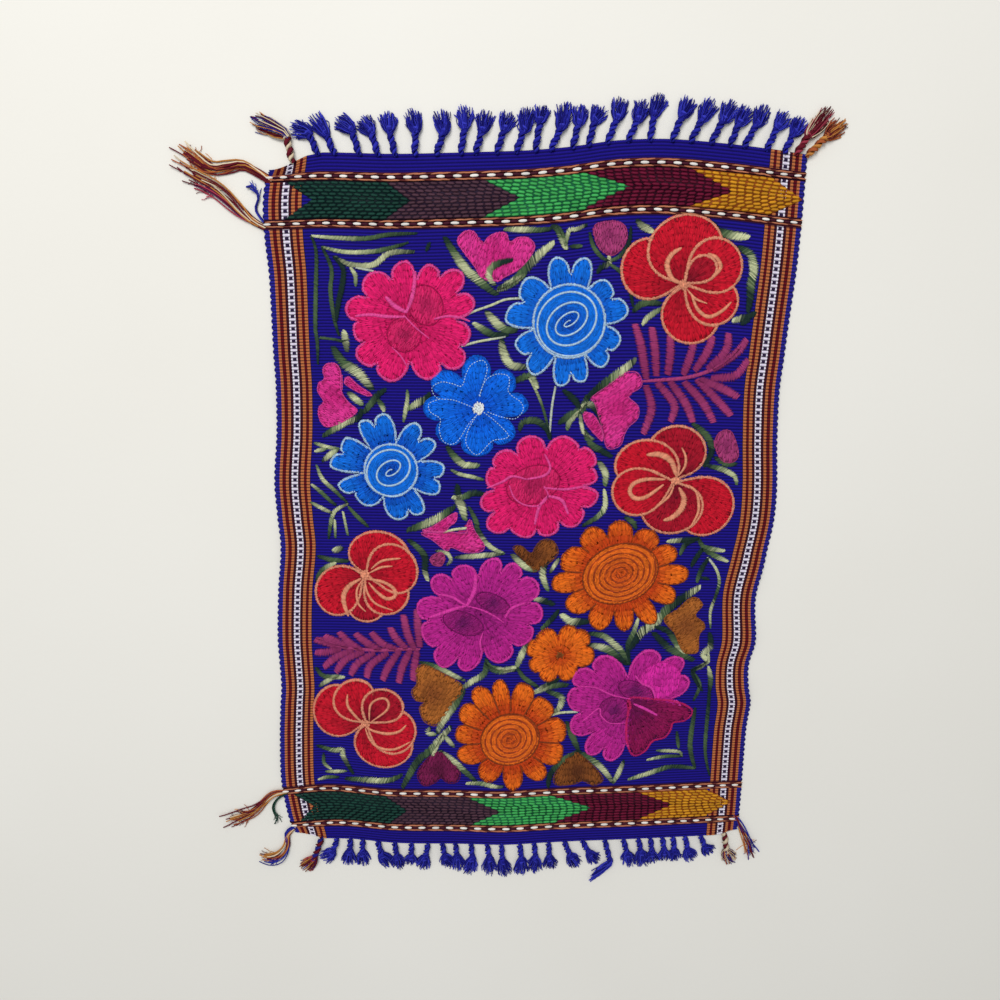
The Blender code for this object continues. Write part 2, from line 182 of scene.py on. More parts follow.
def spine(points: Sequence[Point], count: int) -> np.ndarray:
    """Points at even steps on a smooth curve through a few bends.

    Args:
        points: The bends, in millimetres.
        count: How many points to return.

    Returns:
        An array of count places.
    """
    bends = np.array(points, float)
    if len(bends) == 2:
        return bends[0] + (bends[1] - bends[0]) * np.linspace(0, 1, count)[:, None]
    travel = np.r_[0, np.cumsum(np.linalg.norm(np.diff(bends, axis=0), axis=1))]
    fine = through(travel, bends, np.linspace(0, travel[-1], count * 6))
    arc = np.r_[0, np.cumsum(np.linalg.norm(np.diff(fine, axis=0), axis=1))]
    even = np.linspace(0, arc[-1], count)
    return np.stack([np.interp(even, arc, column) for column in fine.T], axis=1)


def headings(path: np.ndarray) -> np.ndarray:
    """Direction of travel at each point of a path, in radians."""
    run = np.gradient(path, axis=0)
    return np.arctan2(run[:, 1], run[:, 0])


@dataclass(frozen=True)
class WeaveMap:
    """Where each crossing of the flat cloth lies on the floor.

    Args of the methods called across and along are places on the flat cloth, in
    millimetres from its middle.
    """

    width: float = 360.0
    length: float = 515.0
    outer_line: float = 242.5
    inner_line: float = 212.7
    ribs: int = 234
    face: float = 1.95
    lift_reach: float = 30.0
    still_zone: float = 40.0

    @property
    def pitch(self) -> float:
        """Width of one rib along the cloth."""
        return self.length / self.ribs

    def hem_share(self, across: np.ndarray, end: int) -> np.ndarray:
        """Share of the hem's depth that is left.

        Args:
            across: Places across the cloth.
            end: 1 for the top end, -1 for the near one.

        Returns:
            Shares from 0 to 1.
        """
        share = np.ones_like(across)
        for corner in CORNERS:
            if corner.end == end:
                inward = smooth_step((self.width / 2 - across * corner.side) / corner.reach)
                share = share * (corner.depth + (1 - corner.depth) * inward)
        return share

    def on_floor(self, across: np.ndarray, along: np.ndarray) -> Tuple[np.ndarray, np.ndarray]:
        """Where crossings of the flat cloth lie, in millimetres.

        Args:
            across: Places across the cloth.
            along: Places along the cloth.

        Returns:
            The x and y of each crossing.
        """
        across, along = np.broadcast_arrays(np.asarray(across, float), np.asarray(along, float))
        rows = np.array(SELVEDGES, float)
        left = self.width / 2 + through(rows[:, 0], rows[:, 1], along)
        right = self.width / 2 + through(rows[:, 0], rows[:, 2], along)
        x = -left + (left + right) * (across / self.width + 0.5)
        beyond = np.maximum(np.abs(along) - self.outer_line, 0)
        share = np.where(along > 0, self.hem_share(across, 1), self.hem_share(across, -1))
        y = np.sign(along) * (np.minimum(np.abs(along), self.outer_line) + beyond * share)
        fade = smooth_step((np.abs(along) - self.still_zone) / (self.inner_line - self.still_zone))
        wefts = np.array(WEFTS, float)
        push = np.where(along > 0, through(wefts[:, 0], wefts[:, 1], across),
                        through(wefts[:, 0], wefts[:, 2], across))
        return x, y + push * fade

    def lift(self, across: np.ndarray, along: np.ndarray) -> np.ndarray:
        """Height of the underside over the floor, in millimetres."""
        height = np.zeros(np.broadcast(across, along).shape)
        for lift in LIFTS:
            inward = 1 - smooth_step((self.width / 2 - across * lift.side) / self.lift_reach)
            bump = np.exp(-((along - lift.along) / lift.half_length) ** 2)
            height = height + lift.height * inward * bump
        return height

    def face_over(self, across: np.ndarray, along: np.ndarray) -> np.ndarray:
        """Height of the face over the floor at crossings of the flat cloth, in millimetres."""
        return self.face + self.lift(across, along)

    def face_at(self, x: np.ndarray, y: np.ndarray) -> np.ndarray:
        """Height of the cloth's face at places on the floor, in millimetres."""
        x, y = np.asarray(x, float), np.asarray(y, float)
        across, along = x, y
        for _ in range(3):
            there_x, there_y = self.on_floor(across, along)
            across, along = across + x - there_x, along + y - there_y
        return self.face_over(across, along)


def operator(operation: str, swapped: bool = False) -> Callable[["Wire", object], "Wire"]:
    """Make a Python operator that adds one Math node.

    Args:
        operation: The node's operation.
        swapped: Whether the wire is the operator's second value.

    Returns:
        The method for the operator.
    """
    def apply(wire: "Wire", other: object) -> "Wire":
        """Result of the operation on a wire and a number or another wire."""
        pair = (other, wire) if swapped else (wire, other)
        return wire.math(operation, *pair)

    return apply


class Wire:
    """An output socket of a material that can be used in a Python expression."""

    def __init__(self, dye: "DyePot", socket: bpy.types.NodeSocket) -> None:
        """Keep the socket and the material that it belongs to."""
        self.dye = dye
        self.socket = socket

    def math(self, operation: str, *values: object) -> "Wire":
        """Result of one Math node on numbers and wires."""
        return self.dye.node("ShaderNodeMath", {"operation": operation}, dict(enumerate(values)))

    __add__ = __radd__ = operator("ADD")
    __sub__ = operator("SUBTRACT")
    __rsub__ = operator("SUBTRACT", swapped=True)
    __mul__ = __rmul__ = operator("MULTIPLY")
    __truediv__ = operator("DIVIDE")
    __lt__ = operator("LESS_THAN")
    __gt__ = operator("GREATER_THAN")

    def fract(self) -> "Wire":
        """Part after the decimal point."""
        return self.math("FRACT", self)

    def size(self) -> "Wire":
        """Value without its sign."""
        return self.math("ABSOLUTE", self)

    def sine(self) -> "Wire":
        """Sine of the value."""
        return self.math("SINE", self)


class DyePot:
    """A material that is mixed from nodes."""

    specular = 0.12
    bump_strength = 0.8

    def __init__(self, name: str, roughness: float) -> None:
        """Start a matte material with its name and the roughness of its threads."""
        self.material = bpy.data.materials.new(name)
        self.material.use_nodes = True
        self.tree = self.material.node_tree
        self.shader = self.tree.nodes["Principled BSDF"]
        self.shader.inputs["Roughness"].default_value = roughness
        self.shader.inputs["Specular IOR Level"].default_value = self.specular

    def plug(self, socket: bpy.types.NodeSocket, value: object) -> None:
        """Link a wire to a socket, or set a plain value on it."""
        if isinstance(value, Wire):
            self.tree.links.new(value.socket, socket)
        else:
            socket.default_value = value

    def node(self, kind: str, settings: Optional[Dict] = None, values: Optional[Dict] = None,
             output: object = 0) -> Wire:
        """Add any node.

        Args:
            kind: The node's type.
            settings: Its properties, and "stops" for a ramp, which are set first.
            values: Numbers or wires for its inputs, by name or index.
            output: Name or index of the output to return.

        Returns:
            That output.
        """
        node = self.tree.nodes.new(kind)
        for key, value in (settings or {}).items():
            if key == "stops":
                self._set_stops(node.color_ramp, value)
            else:
                setattr(node, key, value)
        for key, value in (values or {}).items():
            self.plug(node.inputs[key], value)
        return Wire(self, node.outputs[output])

    @staticmethod
    def _set_stops(ramp: bpy.types.ColorRamp, stops: Sequence[Tuple[float, Colour]]) -> None:
        """Set a ramp's stops, from left to right."""
        while len(ramp.elements) < len(stops):
            ramp.elements.new(1.0)
        for element, (place, colour) in zip(ramp.elements, stops):
            element.position = place
            element.color = (*colour, 1.0)

    def mix(self, factor: object, first: object, second: object, blend: str = "MIX") -> Wire:
        """Mix two colours.

        Args:
            factor: Share of the second colour.
            first: First colour, as a wire or a linear colour.
            second: Second colour, likewise.
            blend: The way they are mixed.

        Returns:
            The mixed colour.
        """
        settings = {"data_type": "RGBA", "blend_type": blend}
        values = {0: factor}
        for index, colour in ((6, first), (7, second)):
            values[index] = colour if isinstance(colour, Wire) else (*colour, 1.0)
        return self.node("ShaderNodeMix", settings, values, 2)

    def noise(self, scale: float, detail: float = 2.0, stretch: Colour = (1, 1, 1)) -> Wire:
        """Soft noise over the object, from 0 to 1.

        Args:
            scale: Spots for each metre.
            detail: Octaves.
            stretch: Scale along each axis.

        Returns:
            The noise.
        """
        place = self.node("ShaderNodeTexCoord", output="Object")
        place = self.node("ShaderNodeMapping", values={"Vector": place, "Scale": stretch})
        values = {"Vector": place, "Scale": scale, "Detail": detail}
        return self.node("ShaderNodeTexNoise", values=values)

    def finish(self, colour: Wire, height: Optional[Wire] = None, depth: float = 0.0002) -> None:
        """Set the colour and the relief.

        Args:
            colour: The base colour.
            height: Relief from 0 to 1.
            depth: How deep the relief is, in metres.
        """
        self.plug(self.shader.inputs["Base Color"], colour)
        if height is not None:
            values = {"Height": height, "Distance": depth, "Strength": self.bump_strength}
            self.plug(self.shader.inputs["Normal"], self.node("ShaderNodeBump", values=values))


@dataclass(frozen=True)
class ThreadFinish:
    """Embroidery and fringe yarn, whose colour is kept on each thread."""

    name: str
    roughness: float = 0.62
    fibre_scale: float = 2600.0
    variation: float = 0.22
    relief: float = 0.00012

    def make(self) -> bpy.types.Material:
        """Mix the material."""
        dye = DyePot(self.name, self.roughness)
        thread = dye.node("ShaderNodeAttribute", {"attribute_name": "thread"}, output="Color")
        fibre = dye.noise(self.fibre_scale, 3.0)
        dark = dye.mix(self.variation, thread, (0.0, 0.0, 0.0))
        dye.finish(dye.mix(fibre * 1.6 - 0.3, dark, thread), fibre, self.relief)
        return dye.material


@dataclass(frozen=True)
class GroundFinish:
    """Ribbed blue cotton with striped borders, from the cloth's own flat map, with painted shade between the
    ribs.
    """

    name: str
    weave: WeaveMap
    roughness: float = 0.85
    blue: Colour = (22, 10, 118)
    # Painted shade: colour of the valleys between the ribs
    valley: Colour = (3, 1, 26)
    crest: Colour = (36, 26, 150)
    ladder_dark: Colour = (44, 30, 62)
    line_ground: Colour = (58, 12, 26)
    line_reach: float = 3.2
    warp_pitch: float = 0.55
    warp_scale: float = 1500
    patch_scale: float = 14
    relief: float = 0.00018

    def make(self) -> bpy.types.Material:
        """Mix the material."""
        dye = DyePot(self.name, self.roughness)
        flat = {"Vector": dye.node("ShaderNodeUVMap", {"uv_map": "flat"})}
        across, along = (dye.node("ShaderNodeSeparateXYZ", values=flat, output=axis) * MM_PER_METRE
                         for axis in (0, 1))
        inset = self.weave.width / 2 - across.size()
        warp = dye.noise(self.warp_scale, 2.0, (1.4, 0.25, 1))
        patches = dye.noise(self.patch_scale, 2.0)
        blue = dye.mix(warp * 1.2 - 0.1, linear(self.blue), linear(self.crest))
        blue = dye.mix(patches * 0.5, blue, linear(self.blue))
        zone = sum(stripe.width for stripe in STRIPES)
        cloth = dye.mix(inset < zone, blue, self._stripes(dye, inset, along, zone))
        for line in (self.weave.inner_line, self.weave.outer_line):
            near = (along.size() - line).size() < self.line_reach
            cloth = dye.mix(near, cloth, linear(self.line_ground))
        # Painted shade: the valley colour darkens the cloth between the raised ribs, most at the middle of
        # each valley.
        rib = ((along / self.weave.pitch).fract() - 0.5).size() * 2
        cloth = dye.mix(rib * rib * 0.9, cloth, linear(self.valley))
        warp_line = (across * (2 * math.pi / self.warp_pitch)).sine() * 0.25 + 0.5
        dye.finish(cloth, warp_line + warp * 0.6, self.relief)
        return dye.material

    def _stripes(self, dye: DyePot, inset: Wire, along: Wire, zone: float) -> Wire:
        """Mix the striped border.

        Args:
            dye: The material.
            inset: Distance from the selvedge.
            along: Place along the cloth.
            zone: Width of the border.

        Returns:
            Its colour.
        """
        starts = np.cumsum([0.0] + [stripe.width for stripe in STRIPES]).tolist()
        stops = [(start / zone, linear(stripe.colour)) for start, stripe in zip(starts, STRIPES)]
        ramp = dye.node("ShaderNodeValToRGB", {"stops": stops}, {0: inset / zone})
        ramp.socket.node.color_ramp.interpolation = "CONSTANT"
        place = [stripe.name for stripe in STRIPES].index("ladder")
        ladder = (inset > starts[place]) * (inset < starts[place + 1])
        rung = ladder * ((along / (2 * self.weave.pitch)).fract() < 0.5)
        return dye.mix(rung, ramp, linear(self.ladder_dark))


@dataclass(frozen=True)
class FloorFinish:
    """Pale matte floor."""

    name: str = "pale_floor"
    roughness: float = 0.9
    light: Colour = (231, 228, 220)
    dark: Colour = (223, 219, 209)
    cloud_scale: float = 3.0
    grain_scale: float = 220
    relief: float = 0.0001

    def make(self) -> bpy.types.Material:
        """Mix the material."""
        dye = DyePot(self.name, self.roughness)
        cloud = dye.noise(self.cloud_scale, 3.0)
        colour = dye.mix(cloud, linear(self.light), linear(self.dark))
        dye.finish(colour, dye.noise(self.grain_scale, 3.0), self.relief)
        return dye.material


class Loom:
    """A geometry node tree with named inputs, and the plain mesh that it makes."""

    def __init__(self, name: str, inputs: Dict[str, Tuple[str, object]]) -> None:
        """Start a tree.

        Args:
            name: The tree's name.
            inputs: Socket type and default of each named input.
        """
        self.tree = bpy.data.node_groups.new(name, "GeometryNodeTree")
        self.sockets = {}
        self.tree.interface.new_socket("Geometry", in_out="INPUT", socket_type="NodeSocketGeometry")
        for label, (kind, default) in inputs.items():
            socket = self.tree.interface.new_socket(label, in_out="INPUT", socket_type=kind)
            if default is not None:
                socket.default_value = default
            self.sockets[label] = socket.identifier
        self.tree.interface.new_socket("Geometry", in_out="OUTPUT", socket_type="NodeSocketGeometry")
        self.entry = self.tree.nodes.new("NodeGroupInput")
        self.exit = self.tree.nodes.new("NodeGroupOutput")

    def node(self, kind: str, values: Optional[Dict] = None,
             settings: Optional[Dict] = None) -> bpy.types.Node:
        """Add a node.

        Args:
            kind: The node's type.
            values: Values or output sockets for its inputs, by name or index.
            settings: Its properties, set first.

        Returns:
            The node.
        """
        node = self.tree.nodes.new(kind)
        for key, value in (settings or {}).items():
            setattr(node, key, value)
        for key, value in (values or {}).items():
            if isinstance(value, bpy.types.NodeSocket):
                self.tree.links.new(value, node.inputs[key])
            else:
                node.inputs[key].default_value = value
        return node

    def named(self, label: str, kind: str) -> bpy.types.NodeSocket:
        """A named attribute of the incoming mesh."""
        node = self.node("GeometryNodeInputNamedAttribute", {"Name": label}, {"data_type": kind})
        return node.outputs["Attribute"]

    def end(self, made: bpy.types.NodeSocket) -> None:
        """Finish the tree with its material.

        Args:
            made: The geometry, with nothing left as an instance.
        """
        smooth = self.node("GeometryNodeSetShadeSmooth", {"Geometry": made})
        values = {"Geometry": smooth.outputs[0], "Material": self.entry.outputs["Material"]}
        painted = self.node("GeometryNodeSetMaterial", values)
        self.tree.links.new(painted.outputs[0], self.exit.inputs[0])

    def weave(self, name: str, source: bpy.types.Mesh, **choices: object) -> bpy.types.Object:
        """Run the tree on a mesh and keep the result as a plain mesh.

        Args:
            name: The new object's name.
            source: The mesh that goes in.
            choices: Values of the named inputs, with spaces as underscores.

        Returns:
            The object, with no modifier left on it.
        """
        holder = bpy.data.objects.new(name + "_source", source)
        bpy.context.collection.objects.link(holder)
        modifier = holder.modifiers.new("loom", "NODES")
        modifier.node_group = self.tree
        for label, value in choices.items():
            modifier[self.sockets[label.replace("_", " ")]] = value
        bpy.context.view_layer.update()
        graph = bpy.context.evaluated_depsgraph_get()
        mesh = bpy.data.meshes.new_from_object(holder.evaluated_get(graph), depsgraph=graph)
        holder.modifiers.clear()
        bpy.data.objects.remove(holder, do_unlink=True)
        mesh.name = name
        return add_object(name, mesh)


def stitch_loom() -> Loom:
    """Loom that sets a long thread at each loose point, and keeps the pads between them."""
    inputs = {"Sides": ("NodeSocketInt", 4), "Rings": ("NodeSocketInt", 3),
              "Material": ("NodeSocketMaterial", None)}
    loom = Loom("stitches", inputs)
    entry = loom.entry.outputs
    values = {"Segments": entry["Sides"], "Rings": entry["Rings"], "Radius": 0.5}
    ball = loom.node("GeometryNodeMeshUVSphere", values)
    values = {"Geometry": ball.outputs[0], "Rotation": (0.0, math.pi / 2, 0.0)}
    thread = loom.node("GeometryNodeTransform", values)
    turn = loom.node("FunctionNodeEulerToRotation", {0: loom.named("turn", "FLOAT_VECTOR")})
    loose = loom.named("loose", "BOOLEAN")
    values = {"Points": entry["Geometry"], "Selection": loose, "Instance": thread.outputs[0],
              "Rotation": turn.outputs[0], "Scale": loom.named("reach", "FLOAT_VECTOR")}
    threads = loom.node("GeometryNodeInstanceOnPoints", values)
    real = loom.node("GeometryNodeRealizeInstances", {"Geometry": threads.outputs[0]})
    values = {"Geometry": entry["Geometry"], "Selection": loose}
    pads = loom.node("GeometryNodeDeleteGeometry", values)
    both = loom.node("GeometryNodeJoinGeometry")
    loom.tree.links.new(real.outputs[0], both.inputs[0])
    loom.tree.links.new(pads.outputs[0], both.inputs[0])
    loom.end(both.outputs[0])
    return loom


def yarn_loom() -> Loom:
    """Loom that gives a round body to each drawn line of yarn."""
    inputs = {"Sides": ("NodeSocketInt", 5), "Material": ("NodeSocketMaterial", None)}
    loom = Loom("yarns", inputs)
    entry = loom.entry.outputs
    lines = loom.node("GeometryNodeMeshToCurve", {"Mesh": entry["Geometry"]})
    values = {"Resolution": entry["Sides"], "Radius": 1.0}
    ring = loom.node("GeometryNodeCurvePrimitiveCircle", values)
    values = {"Curve": lines.outputs[0], "Profile Curve": ring.outputs[0],
              "Scale": loom.named("thickness", "FLOAT"), "Fill Caps": True}
    tubes = loom.node("GeometryNodeCurveToMesh", values)
    real = loom.node("GeometryNodeRealizeInstances", {"Geometry": tubes.outputs[0]})
    loom.end(real.outputs[0])
    return loom


def add_object(name: str, mesh: bpy.types.Mesh) -> bpy.types.Object:
    """Link a mesh to the scene as a new object."""
    piece = bpy.data.objects.new(name, mesh)
    bpy.context.collection.objects.link(piece)
    return piece


def keep_layer(mesh: bpy.types.Mesh, label: str, kind: str, member: str, values: np.ndarray) -> None:
    """Keep one value for each point of a mesh.

    Args:
        mesh: The mesh.
        label: Name of the attribute.
        kind: Its data type.
        member: What a value of that type is called.
        values: The values.
    """
    layer = mesh.attributes.new(label, kind, "POINT")
    layer.data.foreach_set(member, values.ravel())


def keep_colours(mesh: bpy.types.Mesh, colours: np.ndarray) -> None:
    """Keep the linear thread colour of each point."""
    keep_layer(mesh, "thread", "FLOAT_COLOR", "color", np.c_[colours, np.ones(len(colours))])


class StitchBasket:
    """Threads and pads of one piece, collected before they are made.

    Each row of its tables holds a place, a turn, a reach and a colour, three columns each.
    """

    def __init__(self, seed: int) -> None:
        """Start an empty basket with the seed of its unevenness."""
        self.dice = np.random.default_rng(seed)
        self.threads: List[np.ndarray] = []
        self.pads: List[np.ndarray] = []
        self.pad_faces: List[List[int]] = []
        self.pad_count = 0

    def add(self, places: np.ndarray, angles: np.ndarray, sizes: np.ndarray, colours: np.ndarray,
            pitches: object = 0.0) -> None:
        """Add threads.

        Args:
            places: Middle of each thread, millimetres.
            angles: Direction of each thread in plan, radians.
            sizes: Length, width and height of each thread, millimetres.
            colours: Linear colour of each thread.
            pitches: How far each thread dips along its length, radians.
        """
        count = len(places)
        turns = np.c_[np.zeros(count), np.broadcast_to(pitches, count), angles]
        self.threads.append(np.c_[places, turns, np.broadcast_to(sizes, (count, 3)),
                                  np.broadcast_to(colours, (count, 3))])

    def add_pad(self, rings: Sequence[np.ndarray], colour: Colour) -> None:
        """Add a pad under threads, closed at its first and last ring.

        Args:
            rings: Loops of equally many places, from the foot up to the crown, millimetres.
            colour: The pad's linear colour.
        """
        count = len(rings[0])
        low, ring = self.pad_count, list(range(count))
        for places in rings:
            self.pads.append(np.c_[places, np.zeros((count, 6)), np.broadcast_to(colour, (count, 3))])
        for _ in rings[1:]:
            for k in ring:
                after = (k + 1) % count
                self.pad_faces.append([low + k, low + after, low + count + after, low + count + k])
            low += count
        self.pad_faces.append([self.pad_count + k for k in reversed(ring)])
        self.pad_faces.append([low + k for k in ring])
        self.pad_count = low + count

    def make(self, name: str, loom: Loom, material: bpy.types.Material,
             sides: int = 4, rings: int = 3) -> bpy.types.Object:
        """Make the piece.

        Args:
            name: Its name.
            loom: The stitch loom.
            material: Its material.
            sides: Sides of each thread.
            rings: Rings of each thread.

        Returns:
            The finished piece.
        """
        table = np.concatenate(self.pads + self.threads)
        mesh = bpy.data.meshes.new(name + "_source")
        mesh.from_pydata((table[:, :3] * MM).tolist(), [], self.pad_faces)
        keep_layer(mesh, "turn", "FLOAT_VECTOR", "vector", table[:, 3:6])
        keep_layer(mesh, "reach", "FLOAT_VECTOR", "vector", table[:, 6:9] * MM)
        keep_colours(mesh, table[:, 9:])
        keep_layer(mesh, "loose", "BOOLEAN", "value", np.arange(len(table)) >= self.pad_count)
        piece = loom.weave(name, mesh, Sides=sides, Rings=rings, Material=material)
        LOG.info("%s: %d threads", name, len(table) - self.pad_count)
        return piece


class YarnBasket:
    """Lines of yarn of one piece, collected before they are given a body.

    Each row of its tables holds a place, a radius and a colour.
    """

    def __init__(self, seed: int) -> None:
        """Start an empty basket with the seed of its unevenness."""
        self.dice = np.random.default_rng(seed)
        self.lines: List[np.ndarray] = []
        self.edges: List[Tuple[int, int]] = []
        self.count = 0

    def add(self, line: np.ndarray, radius: object, colour: object, loop: bool = False) -> None:
        """Add one line of yarn.

        Args:
            line: Its places, millimetres.
            radius: Its radius, one value or one for each place, millimetres.
            colour: Its linear colour.
            loop: Whether its end joins its start.
        """
        count, start = len(line), self.count
        self.lines.append(np.c_[line, np.broadcast_to(radius, count), np.broadcast_to(colour, (count, 3))])
        self.count += count
        self.edges += [(k, k + 1) for k in range(start, self.count - 1)]
        if loop:
            self.edges.append((self.count - 1, start))

    def make(self, name: str, loom: Loom, material: bpy.types.Material, sides: int) -> bpy.types.Object:
        """Make the piece.

        Args:
            name: Its name.
            loom: The yarn loom.
            material: Its material.
            sides: Sides of each yarn.

        Returns:
            The finished piece.
        """
        table = np.concatenate(self.lines)
        mesh = bpy.data.meshes.new(name + "_source")
        mesh.from_pydata((table[:, :3] * MM).tolist(), self.edges, [])
        keep_layer(mesh, "thickness", "FLOAT", "value", table[:, 3] * MM)
        keep_colours(mesh, table[:, 4:])
        piece = loom.weave(name, mesh, Sides=sides, Material=material)
        LOG.info("%s: %d yarns", name, len(self.lines))
        return piece


@dataclass
class ClothSheet:
    """The woven ground: ribs that are really raised, stripes and plain underside."""

    weave: WeaveMap
    rows_per_rib: int = 4
    field_columns: int = 30
    rib_height: float = 0.7
    under_step: int = 8
    scallop: float = 1.1
    edge_width: float = 2.5
    field_crown: float = 0.15
    rim_height: float = 0.9
    floor_gap: float = 0.02
    unevenness: float = 0.02
    seed: int = 11

    def columns(self) -> Tuple[np.ndarray, np.ndarray]:
        """Places of the mesh columns, and how proud the warp stands there.

        Returns:
            The places across the cloth and the crown at each, millimetres.
        """
        half = self.weave.width / 2
        places, crowns, start = [], [], 0.0
        for stripe in STRIPES[:-1]:
            places += [start, start + stripe.width / 2]
            crowns += [0.0, stripe.crown]
            start += stripe.width
        field = half - start
        middle = np.linspace(-field, field, self.field_columns + 1)
        left = np.array(places) - half
        across = np.r_[left, middle, -left[::-1]]
        crown = np.r_[crowns, np.full(len(middle), self.field_crown), crowns[::-1]]
        return across, crown

    def make(self, name: str, material: bpy.types.Material) -> bpy.types.Object:
        """Make the sheet as one closed body.

        Args:
            name: Its name.
            material: Its material.

        Returns:
            The piece.
        """
        across, crown = self.columns()
        columns, count = len(across), self.weave.ribs * self.rows_per_rib + 1
        along = np.linspace(-self.weave.length / 2, self.weave.length / 2, count)
        grid_across, grid_along = np.meshgrid(across, along)
        x, y = self.weave.on_floor(grid_across, grid_along)
        edge = np.clip(1 - (self.weave.width / 2 - np.abs(grid_across)) / self.edge_width, 0, 1)
        wave = np.abs(np.sin(np.pi * grid_along / (2 * self.weave.pitch))) - 0.5
        x = x + np.sign(grid_across) * edge * wave * self.scallop
        base = self.weave.lift(grid_across, grid_along)
        top = np.stack([x, y, base + self._relief(along, crown)], axis=-1).reshape(-1, 3) * MM
        low = np.stack([x, y, base + self.floor_gap], axis=-1).reshape(-1, 3) * MM
        rows = np.arange(count)[:, None] * columns
        cell = (rows[:-1] + np.arange(columns - 1)[None, :]).ravel()
        faces = np.stack([cell, cell + 1, cell + columns + 1, cell + columns], axis=1).tolist()
        under = self._underside(count, columns, len(top))
        used = np.unique(np.concatenate([np.concatenate(under), np.arange(len(top))]))
        slot = np.full(2 * len(top), -1)
        slot[used] = np.arange(len(used))
        faces = [slot[face].tolist() for face in faces + under]
        mesh = bpy.data.meshes.new(name)
        mesh.from_pydata(np.concatenate([top, low])[used].tolist(), [], faces)
        flat = np.stack([grid_across, grid_along], axis=-1).reshape(-1, 2) * MM
        flat = np.concatenate([flat, flat])[used]
        layer = mesh.uv_layers.new(name="flat")
        corners = np.zeros(len(mesh.loops), np.int32)
        mesh.loops.foreach_get("vertex_index", corners)
        layer.data.foreach_set("uv", flat[corners].ravel())
        mesh.polygons.foreach_set("use_smooth", np.ones(len(mesh.polygons), bool))
        mesh.materials.append(material)
        LOG.info("%s: %d ribs, %d columns", name, self.weave.ribs, columns)
        return add_object(name, mesh)

    def _relief(self, along: np.ndarray, crown: np.ndarray) -> np.ndarray:
        """Height of the face over the underside.

        Args:
            along: Places of the rows.
            crown: How proud each column stands on a rib.

        Returns:
            The height at each crossing, low at the rim.
        """
        rib = np.sin(np.pi * along / self.weave.pitch) ** 2
        valley = self.weave.face - self.rib_height
        proud = valley + self.rib_height * rib[:, None] + crown[None, :] * rib[:, None]
        proud = proud + np.random.default_rng(self.seed).normal(0, self.unevenness, proud.shape)
        proud[[0, -1], :] = self.rim_height
        proud[:, [0, -1]] = self.rim_height
        return proud

    def _underside(self, rows: int, columns: int, offset: int) -> List[List[int]]:
        """Faces of the underside and the rim.

        Args:
            rows: Rows of the face's grid.
            columns: Columns of the face's grid.
            offset: Index of the underside's first point.

        Returns:
            The faces, with rows and columns skipped between the rims.
        """
        last_row, last_column = rows - 1, columns - 1
        down = list(range(0, last_row, self.under_step)) + [last_row]
        side = list(range(0, last_column, self.under_step)) + [last_column]
        faces = []
        for r0, r1 in zip(down, down[1:]):
            for c0, c1 in zip(side, side[1:]):
                south = range(c0, c1 + 1) if r0 == 0 else (c0, c1)
                east = range(r0, r1 + 1) if c1 == last_column else (r0, r1)
                north = range(c0, c1 + 1) if r1 == last_row else (c0, c1)
                west = range(r0, r1 + 1) if c0 == 0 else (r0, r1)
                ring = [(r0, c) for c in south] + [(r, c1) for r in east][1:]
                ring += [(r1, c) for c in reversed(north)][1:] + [(r, c0) for r in reversed(west)][1:-1]
                faces.append([offset + r * columns + c for r, c in reversed(ring)])
        rim = [(0, c) for c in range(last_column)] + [(r, last_column) for r in range(last_row)]
        rim += [(last_row, c) for c in range(last_column, 0, -1)] + [(r, 0) for r in range(last_row, 0, -1)]
        for (r0, c0), (r1, c1) in zip(rim, rim[1:] + rim[:1]):
            here, there = r0 * columns + c0, r1 * columns + c1
            faces.append([offset + here, offset + there, there, here])
        return faces


# Arrow borders between the five colours of each brocade band, from the left: where the
# arrow's tip and the ends of its barbs lie
Arrow = namedtuple("Arrow", "tip barb")
TOP_ARROWS = (Arrow(-148, -166), Arrow(-83, -100), Arrow(-10.5, -35), Arrow(62.6, 31),
              Arrow(132, 103), Arrow(179, 157))
BOTTOM_ARROWS = (Arrow(-158, -172), Arrow(-85, -101), Arrow(-11, -36), Arrow(61, 30),
                 Arrow(125, 98), Arrow(172, 152))
BAND_COLOURS = ((22, 62, 52), (78, 50, 62), (66, 172, 88), (104, 14, 46), (208, 142, 30))
# Painted shade: a darker copy of each band colour, for the bed seen between its grains
BAND_GAP_SHADES = ((6, 26, 30), (38, 22, 42), (22, 96, 62), (48, 4, 26), (146, 70, 20))


